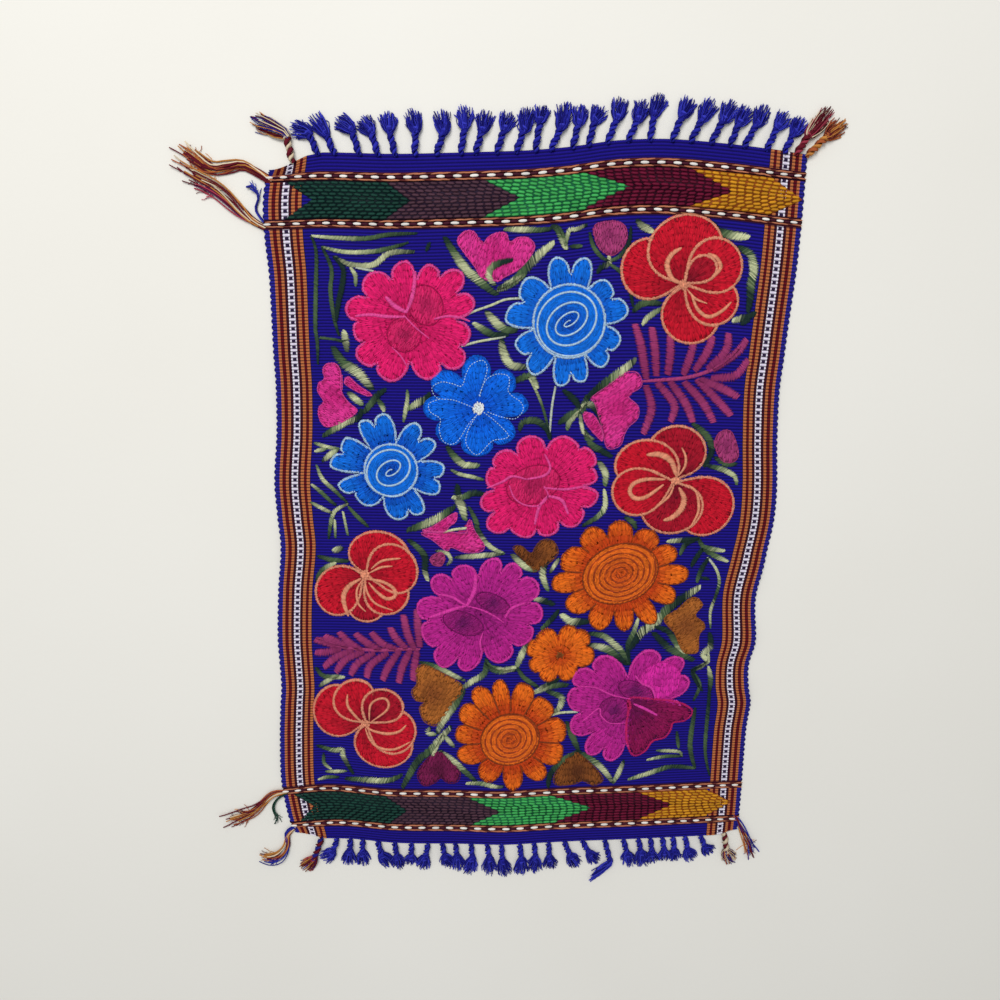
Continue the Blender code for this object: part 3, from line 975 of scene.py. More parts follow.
@dataclass
class BrocadeBand:
    """Wrapped wefts in five colours, parted by arrow borders."""

    weave: WeaveMap
    end: int
    arrows: Sequence[Arrow]
    rows: int = 10
    row_pitch: float = 2.36
    grain_pitch: float = 5.6
    grain: Tuple[float, float, float] = (6.2, 2.3, 1.0)
    lean: float = 5.0
    bed: float = 0.25
    bed_depth: float = 0.3
    bed_steps: int = 11

    def lay(self, basket: StitchBasket) -> None:
        """Lay the five colours of the band, from the left."""
        # Each slot is the painted shade colour of that colour's bed
        for left, right, shade, slot in zip(self.arrows, self.arrows[1:], BAND_COLOURS, BAND_GAP_SHADES):
            self._lay_bed(basket, left, right, slot)
            for row in range(self.rows):
                self._lay_row(basket, left, right, row, np.array(linear(shade)))

    @property
    def middle(self) -> float:
        """The band's middle along the cloth."""
        return self.end * (self.weave.outer_line + self.weave.inner_line) / 2

    def _lay_bed(self, basket: StitchBasket, left: Arrow, right: Arrow, colour: Colour) -> None:
        """Lay the plain bed under one colour's grains, in a darker copy of their colour as painted shade
        between them.

        Args:
            basket: Where it is collected.
            left: The arrow border at its left.
            right: The arrow border at its right.
            colour: Colour of the bed, painted shade for the gaps between the grains.
        """
        reach = self.rows * self.row_pitch / 2
        steps = np.linspace(0, 1, self.bed_steps + 1)[:-1, None]
        low, high = self.middle - reach, self.middle + reach
        corners = np.array([(left.barb, low), (right.barb, low), (right.tip, self.middle),
                            (right.barb, high), (left.barb, high), (left.tip, self.middle)], float)
        sides = [a + (b - a) * steps for a, b in zip(corners, np.roll(corners, -1, axis=0))]
        loop = np.concatenate(sides)
        x, y = self.weave.on_floor(loop[:, 0], loop[:, 1])
        face = self.weave.face_over(loop[:, 0], loop[:, 1])
        basket.add_pad([np.c_[x, y, face - self.bed_depth], np.c_[x, y, face + self.bed]], linear(colour))

    def _lay_row(self, basket: StitchBasket, left: Arrow, right: Arrow, row: int,
                 thread: np.ndarray) -> None:
        """Lay one row of grains in one colour.

        Args:
            basket: Where they are collected.
            left: The arrow border at their left.
            right: The arrow border at their right.
            row: The row, from the near side up.
            thread: Their linear colour.
        """
        offset = row - (self.rows - 1) / 2
        share = abs(offset) / (self.rows / 2)
        start = left.tip + (left.barb - left.tip) * share
        stop = right.tip + (right.barb - right.tip) * share
        count = max(int(round((stop - start) / self.grain_pitch)), 1)
        pitch = (stop - start) / count
        dice = basket.dice
        across = start + (np.arange(count) + 0.5) * pitch + dice.normal(0, 0.12, count)
        along = self.middle + offset * self.row_pitch + dice.normal(0, 0.08, count)
        x, y = self.weave.on_floor(across, along)
        face = self.weave.face_over(across, along) + self.bed
        lean = -math.radians(self.lean) * math.copysign(1, offset)
        angles = lean + dice.normal(0, 0.05, count)
        sizes = np.array([pitch * self.grain[0] / self.grain_pitch, self.grain[1], self.grain[2]])
        colours = thread * dice.uniform(0.78, 1.15, (count, 1))
        basket.add(np.c_[x, y, face + self.grain[2] * 0.16], angles, sizes, colours)


@dataclass
class TwinedLine:
    """A twined line across the cloth: two rope cords with white and dark floats between."""

    weave: WeaveMap
    along: float
    pitch_middle: float = 11.4
    pitch_end: float = 9.2
    inset: float = 2.5
    thinning: float = 0.22
    cord_lean: float = 0.06
    cord: Tuple[float, float, float] = (9.6, 1.2, 1.3)
    float_size: Tuple[float, float, float] = (6.4, 2.2, 1.6)
    cord_offset: float = 2.0
    cord_colour: Colour = (186, 116, 84)
    cord_shade: Colour = (96, 40, 34)
    white: Colour = (238, 232, 224)
    dark: Colour = (66, 18, 36)

    def lay(self, basket: StitchBasket) -> None:
        """Lay the line: its floats, then the cord at each side of them."""
        half = self.weave.width / 2
        across = [-half + self.inset]
        while across[-1] < half - self.inset:
            share = abs(across[-1]) / half
            pitch = self.pitch_middle + (self.pitch_end - self.pitch_middle) * share ** 2
            across.append(across[-1] + pitch / 2)
        across = np.array(across[:-1])
        size = 1 - self.thinning * (np.abs(across) / half) ** 3
        step = np.gradient(across)
        self._lay_part(basket, across, np.zeros_like(across), 0.0, self.float_size,
                       [self.white, self.dark], size, step)
        for side in (-1, 1):
            self._lay_part(basket, across + step * 0.5, side * self.cord_offset * size,
                           side * self.cord_lean, self.cord,
                           [self.cord_colour, self.cord_colour, self.cord_shade], size, step)
        LOG.info("twined line at %.1f mm: %d floats, draw %d", self.along, len(across),
                 basket.dice.integers(9))

    def _lay_part(self, basket: StitchBasket, across: np.ndarray, offset: np.ndarray,
                  lean: float, grain: Tuple[float, float, float], colours: Sequence[Colour],
                  size: np.ndarray, step: np.ndarray) -> None:
        """Lay one cord, or the floats.

        Args:
            basket: Where its threads are collected.
            across: Middle of each grain across the cloth.
            offset: How far the part runs from the line's middle.
            lean: Direction of the grains to the line, radians.
            grain: Length, width and height of a grain.
            colours: Colours taken in turn.
            size: Share of the full thickness at each grain.
            step: Length that each grain has to cover.
        """
        dice = basket.dice
        count = len(across)
        along = self.along + offset
        x, y = self.weave.on_floor(across, along)
        ahead = self.weave.on_floor(across + 1, along)
        angles = np.arctan2(ahead[1] - y, ahead[0] - x) + lean + dice.normal(0, 0.03, count)
        face = self.weave.face_over(across, along)
        sizes = np.c_[grain[0] * step / (self.pitch_middle / 2), grain[1] * size, grain[2] * size]
        turn = np.array([linear(colour) for colour in colours])
        tint = turn[np.arange(count) % len(colours)] * dice.uniform(0.85, 1.1, (count, 1))
        basket.add(np.c_[x, y, face + grain[2] * 0.28], angles, sizes, tint)


# One row for each tassel from left to right: where it leaves the edge, as a share of the
# stretch that carries tassels, then the lean of its cord and of its brush from straight out
Tassel = namedtuple("Tassel", "share cord_lean brush_lean cord brush")
TOP_TASSELS = (
    Tassel(0.000, -34, -72, 10, 13), Tassel(0.036, -36, -38, 10, 14), Tassel(0.088, -24, -56, 12, 12),
    Tassel(0.128, -24, -42, 11, 11), Tassel(0.164, -18, -8, 12, 11), Tassel(0.205, 4, -14, 11, 13),
    Tassel(0.250, 28, -14, 11, 14), Tassel(0.303, 12, -4, 13, 13), Tassel(0.334, 24, 12, 11, 13),
    Tassel(0.379, 26, 18, 12, 11), Tassel(0.421, 28, 8, 11, 14), Tassel(0.463, 10, 10, 15, 10),
    Tassel(0.495, 34, 6, 12, 16), Tassel(0.542, 18, 6, 12, 11), Tassel(0.576, 18, 30, 12, 10),
    Tassel(0.616, 28, 10, 13, 13), Tassel(0.660, 34, 14, 11, 13), Tassel(0.708, 10, 20, 12, 13),
    Tassel(0.755, 28, 28, 13, 13), Tassel(0.795, 36, 28, 12, 14), Tassel(0.839, 36, 24, 13, 13),
    Tassel(0.881, 28, 34, 11, 12), Tassel(0.911, 38, 20, 13, 13), Tassel(0.961, 32, 36, 12, 11),
    Tassel(1.000, 34, 38, 10, 11),
)
BOTTOM_TASSELS = (
    Tassel(0.000, -26, -46, 9, 12), Tassel(0.035, -4, -8, 8, 12), Tassel(0.068, 0, 4, 8, 12),
    Tassel(0.108, 24, 32, 9, 12), Tassel(0.155, 14, 4, 9, 11), Tassel(0.202, 0, -6, 8, 8),
    Tassel(0.248, -14, -12, 9, 11), Tassel(0.286, 18, 24, 8, 10), Tassel(0.322, 14, 2, 8, 13),
    Tassel(0.366, 8, -14, 9, 15), Tassel(0.410, 14, 2, 9, 15), Tassel(0.450, 6, 14, 11, 14),
    Tassel(0.500, 12, 0, 10, 14), Tassel(0.540, 10, -2, 10, 13), Tassel(0.580, 8, 6, 10, 11),
    Tassel(0.622, 34, 28, 11, 12), Tassel(0.672, 42, 36, 10, 11), Tassel(0.735, 20, -44, 16, 24),
    Tassel(0.786, 26, 14, 10, 12), Tassel(0.828, 22, 12, 9, 14), Tassel(0.862, 14, 10, 10, 10),
    Tassel(0.895, 18, 2, 9, 9), Tassel(0.925, 14, 8, 9, 9), Tassel(0.958, 22, 30, 10, 10),
    Tassel(1.000, 38, 42, 9, 8),
)
TOP_STRETCH = (-147.0, 163.5)
BOTTOM_STRETCH = (-146.0, 149.0)
FRINGE_BLUES = ((44, 46, 172), (32, 32, 146), (60, 64, 196), (26, 24, 122))
# Knotted ends of the striped borders, with their place across the cloth and their colours
BorderEnd = namedtuple("BorderEnd", "across cord_lean brush_lean cord brush colours")
MAROON, CREAM, GOLD = (104, 22, 38), (228, 208, 176), (204, 136, 66)
DEEP_BLUE, ROSE, RUST = (36, 34, 130), (168, 58, 78), (176, 92, 52)
TOP_BORDER_ENDS = (
    BorderEnd(-164.0, -16, -66, 12, 25, (MAROON, CREAM, DEEP_BLUE, GOLD, MAROON)),
    BorderEnd(171.5, 44, 40, 11, 21, (MAROON, ROSE, MAROON, CREAM)),
    BorderEnd(179.0, 56, 50, 15, 15, (GOLD, RUST, MAROON)),
)
BOTTOM_BORDER_ENDS = (
    BorderEnd(-158.5, -24, -40, 16, 14, (MAROON, DEEP_BLUE, ROSE, GOLD)),
    BorderEnd(169.0, 14, 30, 13, 13, (MAROON, CREAM, RUST, DEEP_BLUE)),
)


@dataclass
class Fringe:
    """Warp ends of one edge: twisted in pairs, knotted, and brushed out."""

    weave: WeaveMap
    end: int
    tassels: Sequence[Tassel]
    stretch: Tuple[float, float]
    border_ends: Sequence[BorderEnd]
    ply_radius: float = 1.5
    ply_turn: float = 7.0
    ply_spread: float = 0.92
    ply_step: float = 0.9
    knot_radius: float = 1.6
    wrap_radius: float = 1.1
    wraps: Tuple[float, float, float] = (-1.35, 0.1, 1.45)
    fibres: int = 54
    fibre_radius: float = 0.42
    brush_width: float = 12.0
    hidden_root: float = 2.0
    straight_root: float = 4.6
    longest_brush: float = 22.0

    def lay(self, basket: YarnBasket) -> None:
        """Lay the tassels from left to right, then the ends of the striped borders."""
        first, last = self.stretch
        for row in self.tassels:
            self._lay_tassel(basket, first + row.share * (last - first), row, FRINGE_BLUES)
        for row in self.border_ends:
            self._lay_tassel(basket, row.across, row, row.colours)

    def _lay_tassel(self, basket: YarnBasket, across: float, row: object,
                    colours: Sequence[Colour]) -> None:
        """Lay one tassel.

        Args:
            basket: Where its yarns are collected.
            across: Where it leaves the cloth.
            row: Its leans and lengths.
            colours: Colours of its yarns.
        """
        outward = math.pi / 2 * self.end
        cord_heading = outward - math.radians(row.cord_lean) * self.end
        brush_heading = outward - math.radians(row.brush_lean) * self.end
        x, y = self.weave.on_floor(across, self.end * (self.weave.length / 2 - self.hidden_root))
        root = np.array([float(x), float(y)])
        along_cord = np.array([math.cos(cord_heading), math.sin(cord_heading)])
        along_brush = np.array([math.cos(brush_heading), math.sin(brush_heading)])
        knot = root + np.array([0.0, self.straight_root * self.end]) + along_cord * row.cord
        unknotted = colours is FRINGE_BLUES and row.brush > self.longest_brush
        tones = [np.array(linear(colour)) for colour in colours]
        self._lay_plies(basket, root, knot, along_cord, tones)
        if not unknotted:
            self._lay_knot(basket, knot, (cord_heading + brush_heading) / 2, tones)
        self._lay_brush(basket, knot, along_cord, along_brush, row.brush, tones, unknotted)

    def _lay_plies(self, basket: YarnBasket, root: np.ndarray, knot: np.ndarray,
                   heading: np.ndarray, tones: List[np.ndarray]) -> None:
        """Lay the two plies of a cord round each other.

        Args:
            basket: Where its yarns are collected.
            root: Where it leaves the cloth.
            knot: Where its knot sits.
            heading: Its direction at the knot.
            tones: Linear colours of its yarns.
        """
        length = np.linalg.norm(knot - root)
        count = max(int(length / self.ply_step), 8)
        middle = spine([root, (root + knot) / 2 - heading * 0.1, knot], count)
        side = headings(middle) + math.pi / 2
        normal = np.c_[np.cos(side), np.sin(side)]
        travel = np.linspace(0, length, count)
        phase = basket.dice.uniform(0, 2 * math.pi)
        swell = np.minimum(1.0, 0.55 + travel / 6)
        for ply in range(2):
            turn = travel * 2 * math.pi / self.ply_turn + phase + ply * math.pi
            place = middle + normal * (np.cos(turn) * self.ply_radius * self.ply_spread * swell)[:, None]
            height = self.ply_radius * (1.95 + self.ply_spread * np.sin(turn)) - self.ply_radius * 0.05
            tone = tones[ply % len(tones)] * basket.dice.uniform(0.85, 1.15)
            basket.add(np.c_[place, height], self.ply_radius * swell, tone)

    def _lay_knot(self, basket: YarnBasket, knot: np.ndarray, heading: float,
                  tones: List[np.ndarray]) -> None:
        """Lay the wraps of a knot.

        Args:
            basket: Where its yarns are collected.
            knot: The knot's middle.
            heading: The direction that the yarn passes through it.
            tones: Linear colours of its yarns.
        """
        along = np.array([math.cos(heading), math.sin(heading), 0])
        side = np.array([-math.sin(heading), math.cos(heading), 0])
        top = self.knot_radius + self.wrap_radius
        for wrap, offset in enumerate(self.wraps):
            turn = np.linspace(0, 2 * math.pi, 10, endpoint=False)
            radius = self.knot_radius * (1.12 if wrap == 1 else 0.92)
            tilt = 0.4 * math.cos(basket.dice.uniform(0, math.pi))
            ring = (np.array([*knot, top]) + side * (np.cos(turn) * radius)[:, None]
                    + np.array([0, 0, 1]) * (np.sin(turn) * radius)[:, None]
                    + along * (offset + tilt * np.cos(turn) * 1.6)[:, None])
            tone = tones[wrap % len(tones)] * basket.dice.uniform(0.8, 1.1)
            basket.add(ring, self.wrap_radius, tone, loop=True)

    def _lay_brush(self, basket: YarnBasket, knot: np.ndarray, cord: np.ndarray, brush: np.ndarray,
                   length: float, tones: List[np.ndarray], unknotted: bool) -> None:
        """Lay the loose fibres beyond a knot.

        Args:
            basket: Where they are collected.
            knot: The knot's middle.
            cord: Direction of the cord.
            brush: Direction of the brush.
            length: How far they reach.
            tones: Linear colours of their yarns.
            unknotted: Whether they bend away in one long hook.
        """
        dice = basket.dice
        side = np.array([-brush[1], brush[0]])
        width = self.brush_width * (0.55 if unknotted else 1.0)
        t = np.linspace(0, 1, 6)
        bow = 0.3 + 0.7 * t ** 0.55
        turn = np.clip(t * 3, 0, 1)[:, None]
        heading = np.r_[[[0, 0]], (cord * (1 - turn) + brush * turn)[1:]]
        for fibre in range(self.fibres):
            spread = (fibre + 0.5) / self.fibres * 2 - 1
            reach = (length + 2) * dice.uniform(0.6, 1.08) * (1 - 0.2 * spread ** 2)
            layer = dice.uniform(0, 1)
            wave = dice.uniform(-1.6, 1.6) * t * np.sin(t * dice.uniform(3, 8) + dice.uniform(0, 6))
            line = knot - brush * 1.6 + np.cumsum(heading * reach / 5, axis=0)
            line = line + side * (spread * width / 2 * bow + wave)[:, None]
            height = 0.5 + layer * (4.2 - 2.2 * t - 1.2 * spread ** 2) + 0.6 * (1 - t)
            radius = self.fibre_radius * (1.0 - 0.2 * t) * dice.uniform(0.8, 1.25)
            tone = tones[dice.integers(len(tones))] * dice.uniform(0.75, 1.25)
            basket.add(np.c_[line, height], radius, tone)


# Yarn tufts of the twined lines: where their yarns run, and the colours in each bundle
Strand = namedtuple("Strand", "bends width yarns colours")
Tuft = namedtuple("Tuft", "node along side strands")
TUFTS = (
    Tuft("tuft_left_1", 240.0, -1, (
        Strand(((-190, 242.5), (-200, 241), (-209, 239), (-217, 241), (-227, 248), (-238, 255)), 6, 9,
               (MAROON, MAROON, GOLD, RUST)),
        Strand(((-190, 243), (-201, 243), (-212, 241.5), (-222, 247), (-231, 253)), 4, 4,
               (GOLD, CREAM, MAROON)),
        Strand(((-190, 241.5), (-204, 240), (-215, 239), (-226, 243), (-236, 249)), 3, 3,
               (RUST, MAROON)),
    )),
    Tuft("tuft_left_2", 209.0, -1, (
        Strand(((-187, 207.5), (-194, 214), (-202, 223), (-211, 230), (-224, 237), (-238, 245)), 6, 9,
               (MAROON, CREAM, GOLD, MAROON)),
        Strand(((-187, 207), (-195, 212), (-207, 221), (-219, 228), (-232, 233)), 4, 6,
               ((92, 30, 74), MAROON, ROSE)),
        Strand(((-187, 208), (-195, 219), (-204, 228), (-217, 234), (-231, 240)), 3, 3,
               (GOLD, CREAM)),
        Strand(((-184, 214), (-182, 223), (-187, 229), (-192, 227)), 2, 4, (DEEP_BLUE, (50, 60, 170))),
    )),
    Tuft("tuft_left_3", -213.7, -1, (
        Strand(((-190, -217), (-198, -224.5), (-206, -232), (-217, -236.5), (-232, -241)), 6, 10,
               (MAROON, RUST, GOLD, MAROON)),
        Strand(((-190, -218), (-200, -227), (-208, -234), (-220, -239), (-230, -244)), 4, 4,
               (MAROON, CREAM, GOLD)),
        Strand(((-187, -221), (-190, -229), (-187, -237), (-190, -245)), 2, 3, ((24, 62, 48),)),
    )),
    Tuft("tuft_left_4", -244.0, -1, (
        Strand(((-180, -253), (-182, -263), (-188, -271), (-196, -274), (-204, -272)), 5, 7,
               (MAROON, GOLD, MAROON, RUST)),
        Strand(((-181, -251), (-180, -264), (-185, -274), (-194, -277), (-203, -274)), 3, 4,
               (DEEP_BLUE, (44, 50, 160))),
        Strand(((-180, -253), (-184, -262), (-191, -268), (-200, -269)), 2, 3, (GOLD, CREAM)),
    )),
    Tuft("tuft_right_4", -239.5, 1, (
        Strand(((182, -247), (186, -254), (189, -262), (193, -272)), 4, 5,
               (DEEP_BLUE, (44, 50, 160), MAROON)),
        Strand(((181, -248), (184, -256), (187, -264), (190, -273)), 3, 4, (GOLD, MAROON, RUST)),
    )),
)


@dataclass
class YarnTuft:
    """Loose yarns that leave a selvedge at the end of a twined line."""

    weave: WeaveMap
    tuft: Tuft
    yarn_radius: float = 0.62
    frizz: int = 5
    hidden_root: float = 4.0
    near_line: float = 12.0

    def lay(self, basket: YarnBasket) -> None:
        """Lay the tuft's bundles, those near the twined line from where it ends."""
        edge = self.tuft.side * (self.weave.width / 2 - self.hidden_root)
        x, y = self.weave.on_floor(edge, self.tuft.along)
        for strand in self.tuft.strands:
            near = abs(strand.bends[0][1] - self.tuft.along) < self.near_line
            self._lay_strand(basket, strand, [(float(x), float(y))] if near else [])

    def _lay_strand(self, basket: YarnBasket, strand: Strand, root: List[Point]) -> None:
        """Lay one bundle of yarns.

        Args:
            basket: Where they are collected.
            strand: The bundle's row.
            root: Where it leaves the cloth, if it does so here.
        """
        dice = basket.dice
        middle = spine(root + list(strand.bends), 16)
        t = np.linspace(0, 1, len(middle))
        side = headings(middle) + math.pi / 2
        normal = np.c_[np.cos(side), np.sin(side)]
        for yarn in range(strand.yarns):
            spread = (yarn + 0.5) / strand.yarns * 2 - 1
            twist = spread + 0.55 * np.sin(t * dice.uniform(4, 9) + dice.uniform(0, 6))
            drift = dice.uniform(-0.9, 0.9) * t ** 2 * 4
            place = middle + normal * (twist * strand.width / 2 * (0.55 + 0.45 * t) + drift)[:, None]
            height = 1.0 + 1.5 * (1 - spread ** 2) * dice.uniform(0.5, 1) + 0.5 * np.sin(t * 8 + yarn)
            height = np.maximum(height, self.yarn_radius + 0.05)
            tone = np.array(linear(strand.colours[yarn % len(strand.colours)]))
            tone = tone * dice.uniform(0.8, 1.2)
            cut = dice.integers(13, 17)
            radius = self.yarn_radius * dice.uniform(0.8, 1.1) * (1 - 0.25 * t[:cut])
            basket.add(np.c_[place, height][:cut], radius, tone)
            for _ in range(self.frizz if yarn % 2 else 2):
                self._lay_wisp(basket, place[cut - 4], side[cut - 4] - math.pi / 2, tone)

    def _lay_wisp(self, basket: YarnBasket, place: np.ndarray, heading: float,
                  tone: np.ndarray) -> None:
        """Lay one stray fibre near a yarn's end.

        Args:
            basket: Where it is collected.
            place: Where it starts.
            heading: Direction of its yarn.
            tone: Linear colour of its yarn.
        """
        dice = basket.dice
        heading = heading + dice.normal(0, 0.5)
        run = np.linspace(0, dice.uniform(4, 9), 5)[:, None]
        line = place + run * np.array([math.cos(heading), math.sin(heading)])
        line = line + dice.normal(0, 0.35, line.shape)
        height = np.linspace(1.6, 0.5, 5)
        basket.add(np.c_[line, height], 0.2, tone * dice.uniform(0.8, 1.6))


class Lie(Enum):
    """How the threads of a worked area lie."""

    FAN = "fan"
    SLANT = "slant"
    RINGS = "rings"


Tone = namedtuple("Tone", "light deep edge")
ROSE_PINK = Tone((240, 30, 112), (206, 22, 92), (248, 84, 164))
BOWL_PINK = Tone((222, 38, 104), (176, 28, 84), (170, 20, 78))
ROSE_PURPLE = Tone((200, 38, 148), (156, 28, 122), (238, 66, 176))
BOWL_PURPLE = Tone((160, 30, 120), (104, 18, 90), (116, 18, 92))
BRIGHT_PURPLE = Tone((232, 46, 170), (214, 40, 156), (200, 36, 146))
FOLD_PURPLE = Tone((150, 20, 84), (104, 14, 74), (216, 36, 104))
PETAL_BLUE = Tone((14, 118, 234), (4, 72, 190), (196, 226, 246))
CLOVER_BLUE = Tone((8, 112, 240), (2, 84, 216), (14, 96, 214))
CLOVER_DOTS = (196, 226, 248)
ORANGE = Tone((250, 118, 28), (204, 66, 20), (142, 66, 32))
ORANGE_DISC = Tone((240, 112, 30), (222, 88, 26), (132, 62, 30))
POPPY_RED = Tone((214, 22, 46), (160, 14, 36), (250, 166, 132))
POPPY_WINE = Tone((180, 20, 44), (118, 12, 36), (250, 166, 132))
TULIP_PINK = Tone((234, 58, 152), (208, 36, 124), (238, 82, 164))
MAUVE = Tone((182, 66, 124), (146, 46, 100), (182, 66, 124))
BROWN = Tone((142, 80, 34), (100, 52, 26), (128, 72, 34))
TAN = Tone((182, 106, 44), (140, 76, 34), (164, 94, 42))
PLUM = Tone((128, 30, 80), (92, 20, 58), (120, 28, 74))
LEAF_GREEN, LEAF_PALE, LEAF_CREAM = (28, 50, 44), (88, 112, 74), (222, 226, 176)
LINE_WHITE, SALMON = (206, 214, 196), (248, 162, 126)
CLOVER_WHITE = Tone((246, 248, 244), (226, 236, 240), LINE_WHITE)

# Direction and reach of each petal, and reach of the notch after it
Lobe = namedtuple("Lobe", "angle tip notch")
# How squarely a petal is rounded, smaller for squarer, and how much more its deep notches open
SQUARENESS, WEDGE = 0.15, 1.5
PETAL_STEPS, LOOP_STEPS = 14, 44


def between(angle: float, after: float) -> float:
    """Turn from one direction to another by the shorter way, in degrees."""
    return (after - angle + 180) % 360 - 180


def moved(hub: Point, bends: Sequence[Point]) -> List[Point]:
    """Places given from a hub, on the floor."""
    return [(hub[0] + x, hub[1] + y) for x, y in bends]


def lobed(hub: Point, lobes: Sequence[Lobe]) -> np.ndarray:
    """Outline of a flower with round petals and sharp notches.

    Args:
        hub: Middle of the flower.
        lobes: Its petals.

    Returns:
        A closed loop, millimetres.
    """
    loop = []
    for (angle, tip, notch), after in zip(lobes, list(lobes[1:]) + [lobes[0]]):
        gap = between(angle, after[0])
        for u in np.linspace(0, 1, PETAL_STEPS, endpoint=False):
            peak = tip if u < 0.5 else after[1]
            fullness = SQUARENESS + WEDGE * max(1 - notch / peak, 0.1)
            reach = notch + (peak - notch) * abs(math.cos(u * math.pi)) ** fullness
            heading = math.radians(angle + gap * u)
            loop.append((hub[0] + reach * math.cos(heading), hub[1] + reach * math.sin(heading)))
    return np.array(loop)


def petal_loop(hub: Point, petal: "Petal") -> np.ndarray:
    """Outline of one petal that narrows to its flower's hub.

    Args:
        hub: The hub.
        petal: Where the petal starts, peaks and ends, and how far it reaches.

    Returns:
        A closed loop, millimetres.
    """
    u = np.linspace(0, 1, LOOP_STEPS, endpoint=False)
    bend = math.log(0.5) / math.log((petal.peak - petal.start) / (petal.end - petal.start))
    radius = petal.reach * np.sin(np.pi * u ** bend) ** 0.42
    angle = np.radians(petal.start + (petal.end - petal.start) * u)
    return np.c_[hub[0] + radius * np.cos(angle), hub[1] + radius * np.sin(angle)]


def turned(hub: Point, u: np.ndarray, v: np.ndarray, turn: float) -> np.ndarray:
    """Places about a hub for offsets along and across a direction in degrees."""
    turn = math.radians(turn)
    return np.c_[hub[0] + u * math.cos(turn) - v * math.sin(turn),
                 hub[1] + u * math.sin(turn) + v * math.cos(turn)]


def oval(hub: Point, wide: float, high: float, turn: float = 0.0) -> np.ndarray:
    """Closed oval loop about a hub, with its two radii and its turn in degrees."""
    angle = np.linspace(0, 2 * math.pi, LOOP_STEPS, endpoint=False)
    return turned(hub, wide * np.cos(angle), high * np.sin(angle), turn)


def sized(long: np.ndarray, wide: float, high: float) -> np.ndarray:
    """Length, width and height of each thread."""
    return np.c_[long, np.full(len(long), wide), np.full(len(long), high)]


def closed(points: Sequence[Point]) -> np.ndarray:
    """Smooth closed loop through a few places."""
    ring = np.array(list(points[-2:]) + list(points) + list(points[:2]), float)
    travel = np.r_[0, np.cumsum(np.linalg.norm(np.diff(ring, axis=0), axis=1))]
    count = max(int((travel[-3] - travel[1]) / 2.0), 24)
    return through(travel, ring, np.linspace(travel[1], travel[-2], count, endpoint=False))


def even_loop(loop: np.ndarray, pitch: float) -> np.ndarray:
    """Places at an even pitch round a closed loop."""
    ring = np.r_[loop, loop[:1]]
    travel = np.r_[0, np.cumsum(np.linalg.norm(np.diff(ring, axis=0), axis=1))]
    even = np.linspace(0, travel[-1], max(int(travel[-1] / pitch), 8), endpoint=False)
    return np.c_[np.interp(even, travel, ring[:, 0]), np.interp(even, travel, ring[:, 1])]


def within(loop: np.ndarray, points: np.ndarray) -> np.ndarray:
    """Whether each place lies inside a closed loop."""
    x, y = points[:, :1], points[:, 1:2]
    near, far = loop, np.roll(loop, -1, axis=0)
    rise = np.where(far[:, 1] == near[:, 1], 1e-9, far[:, 1] - near[:, 1])
    crossed = (near[:, 1] > y) != (far[:, 1] > y)
    at = near[:, 0] + (y - near[:, 1]) * (far[:, 0] - near[:, 0]) / rise
    return (crossed & (x < at)).sum(axis=1) % 2 == 1


def depth_in(loop: np.ndarray, points: np.ndarray) -> np.ndarray:
    """How far each place lies from a loop."""
    near, run = loop, np.roll(loop, -1, axis=0) - loop
    offset = points[:, None, :] - near[None]
    share = np.clip((offset * run).sum(-1) / np.maximum((run * run).sum(-1), 1e-9), 0, 1)
    return np.sqrt(((offset - share[..., None] * run) ** 2).sum(-1)).min(axis=1)


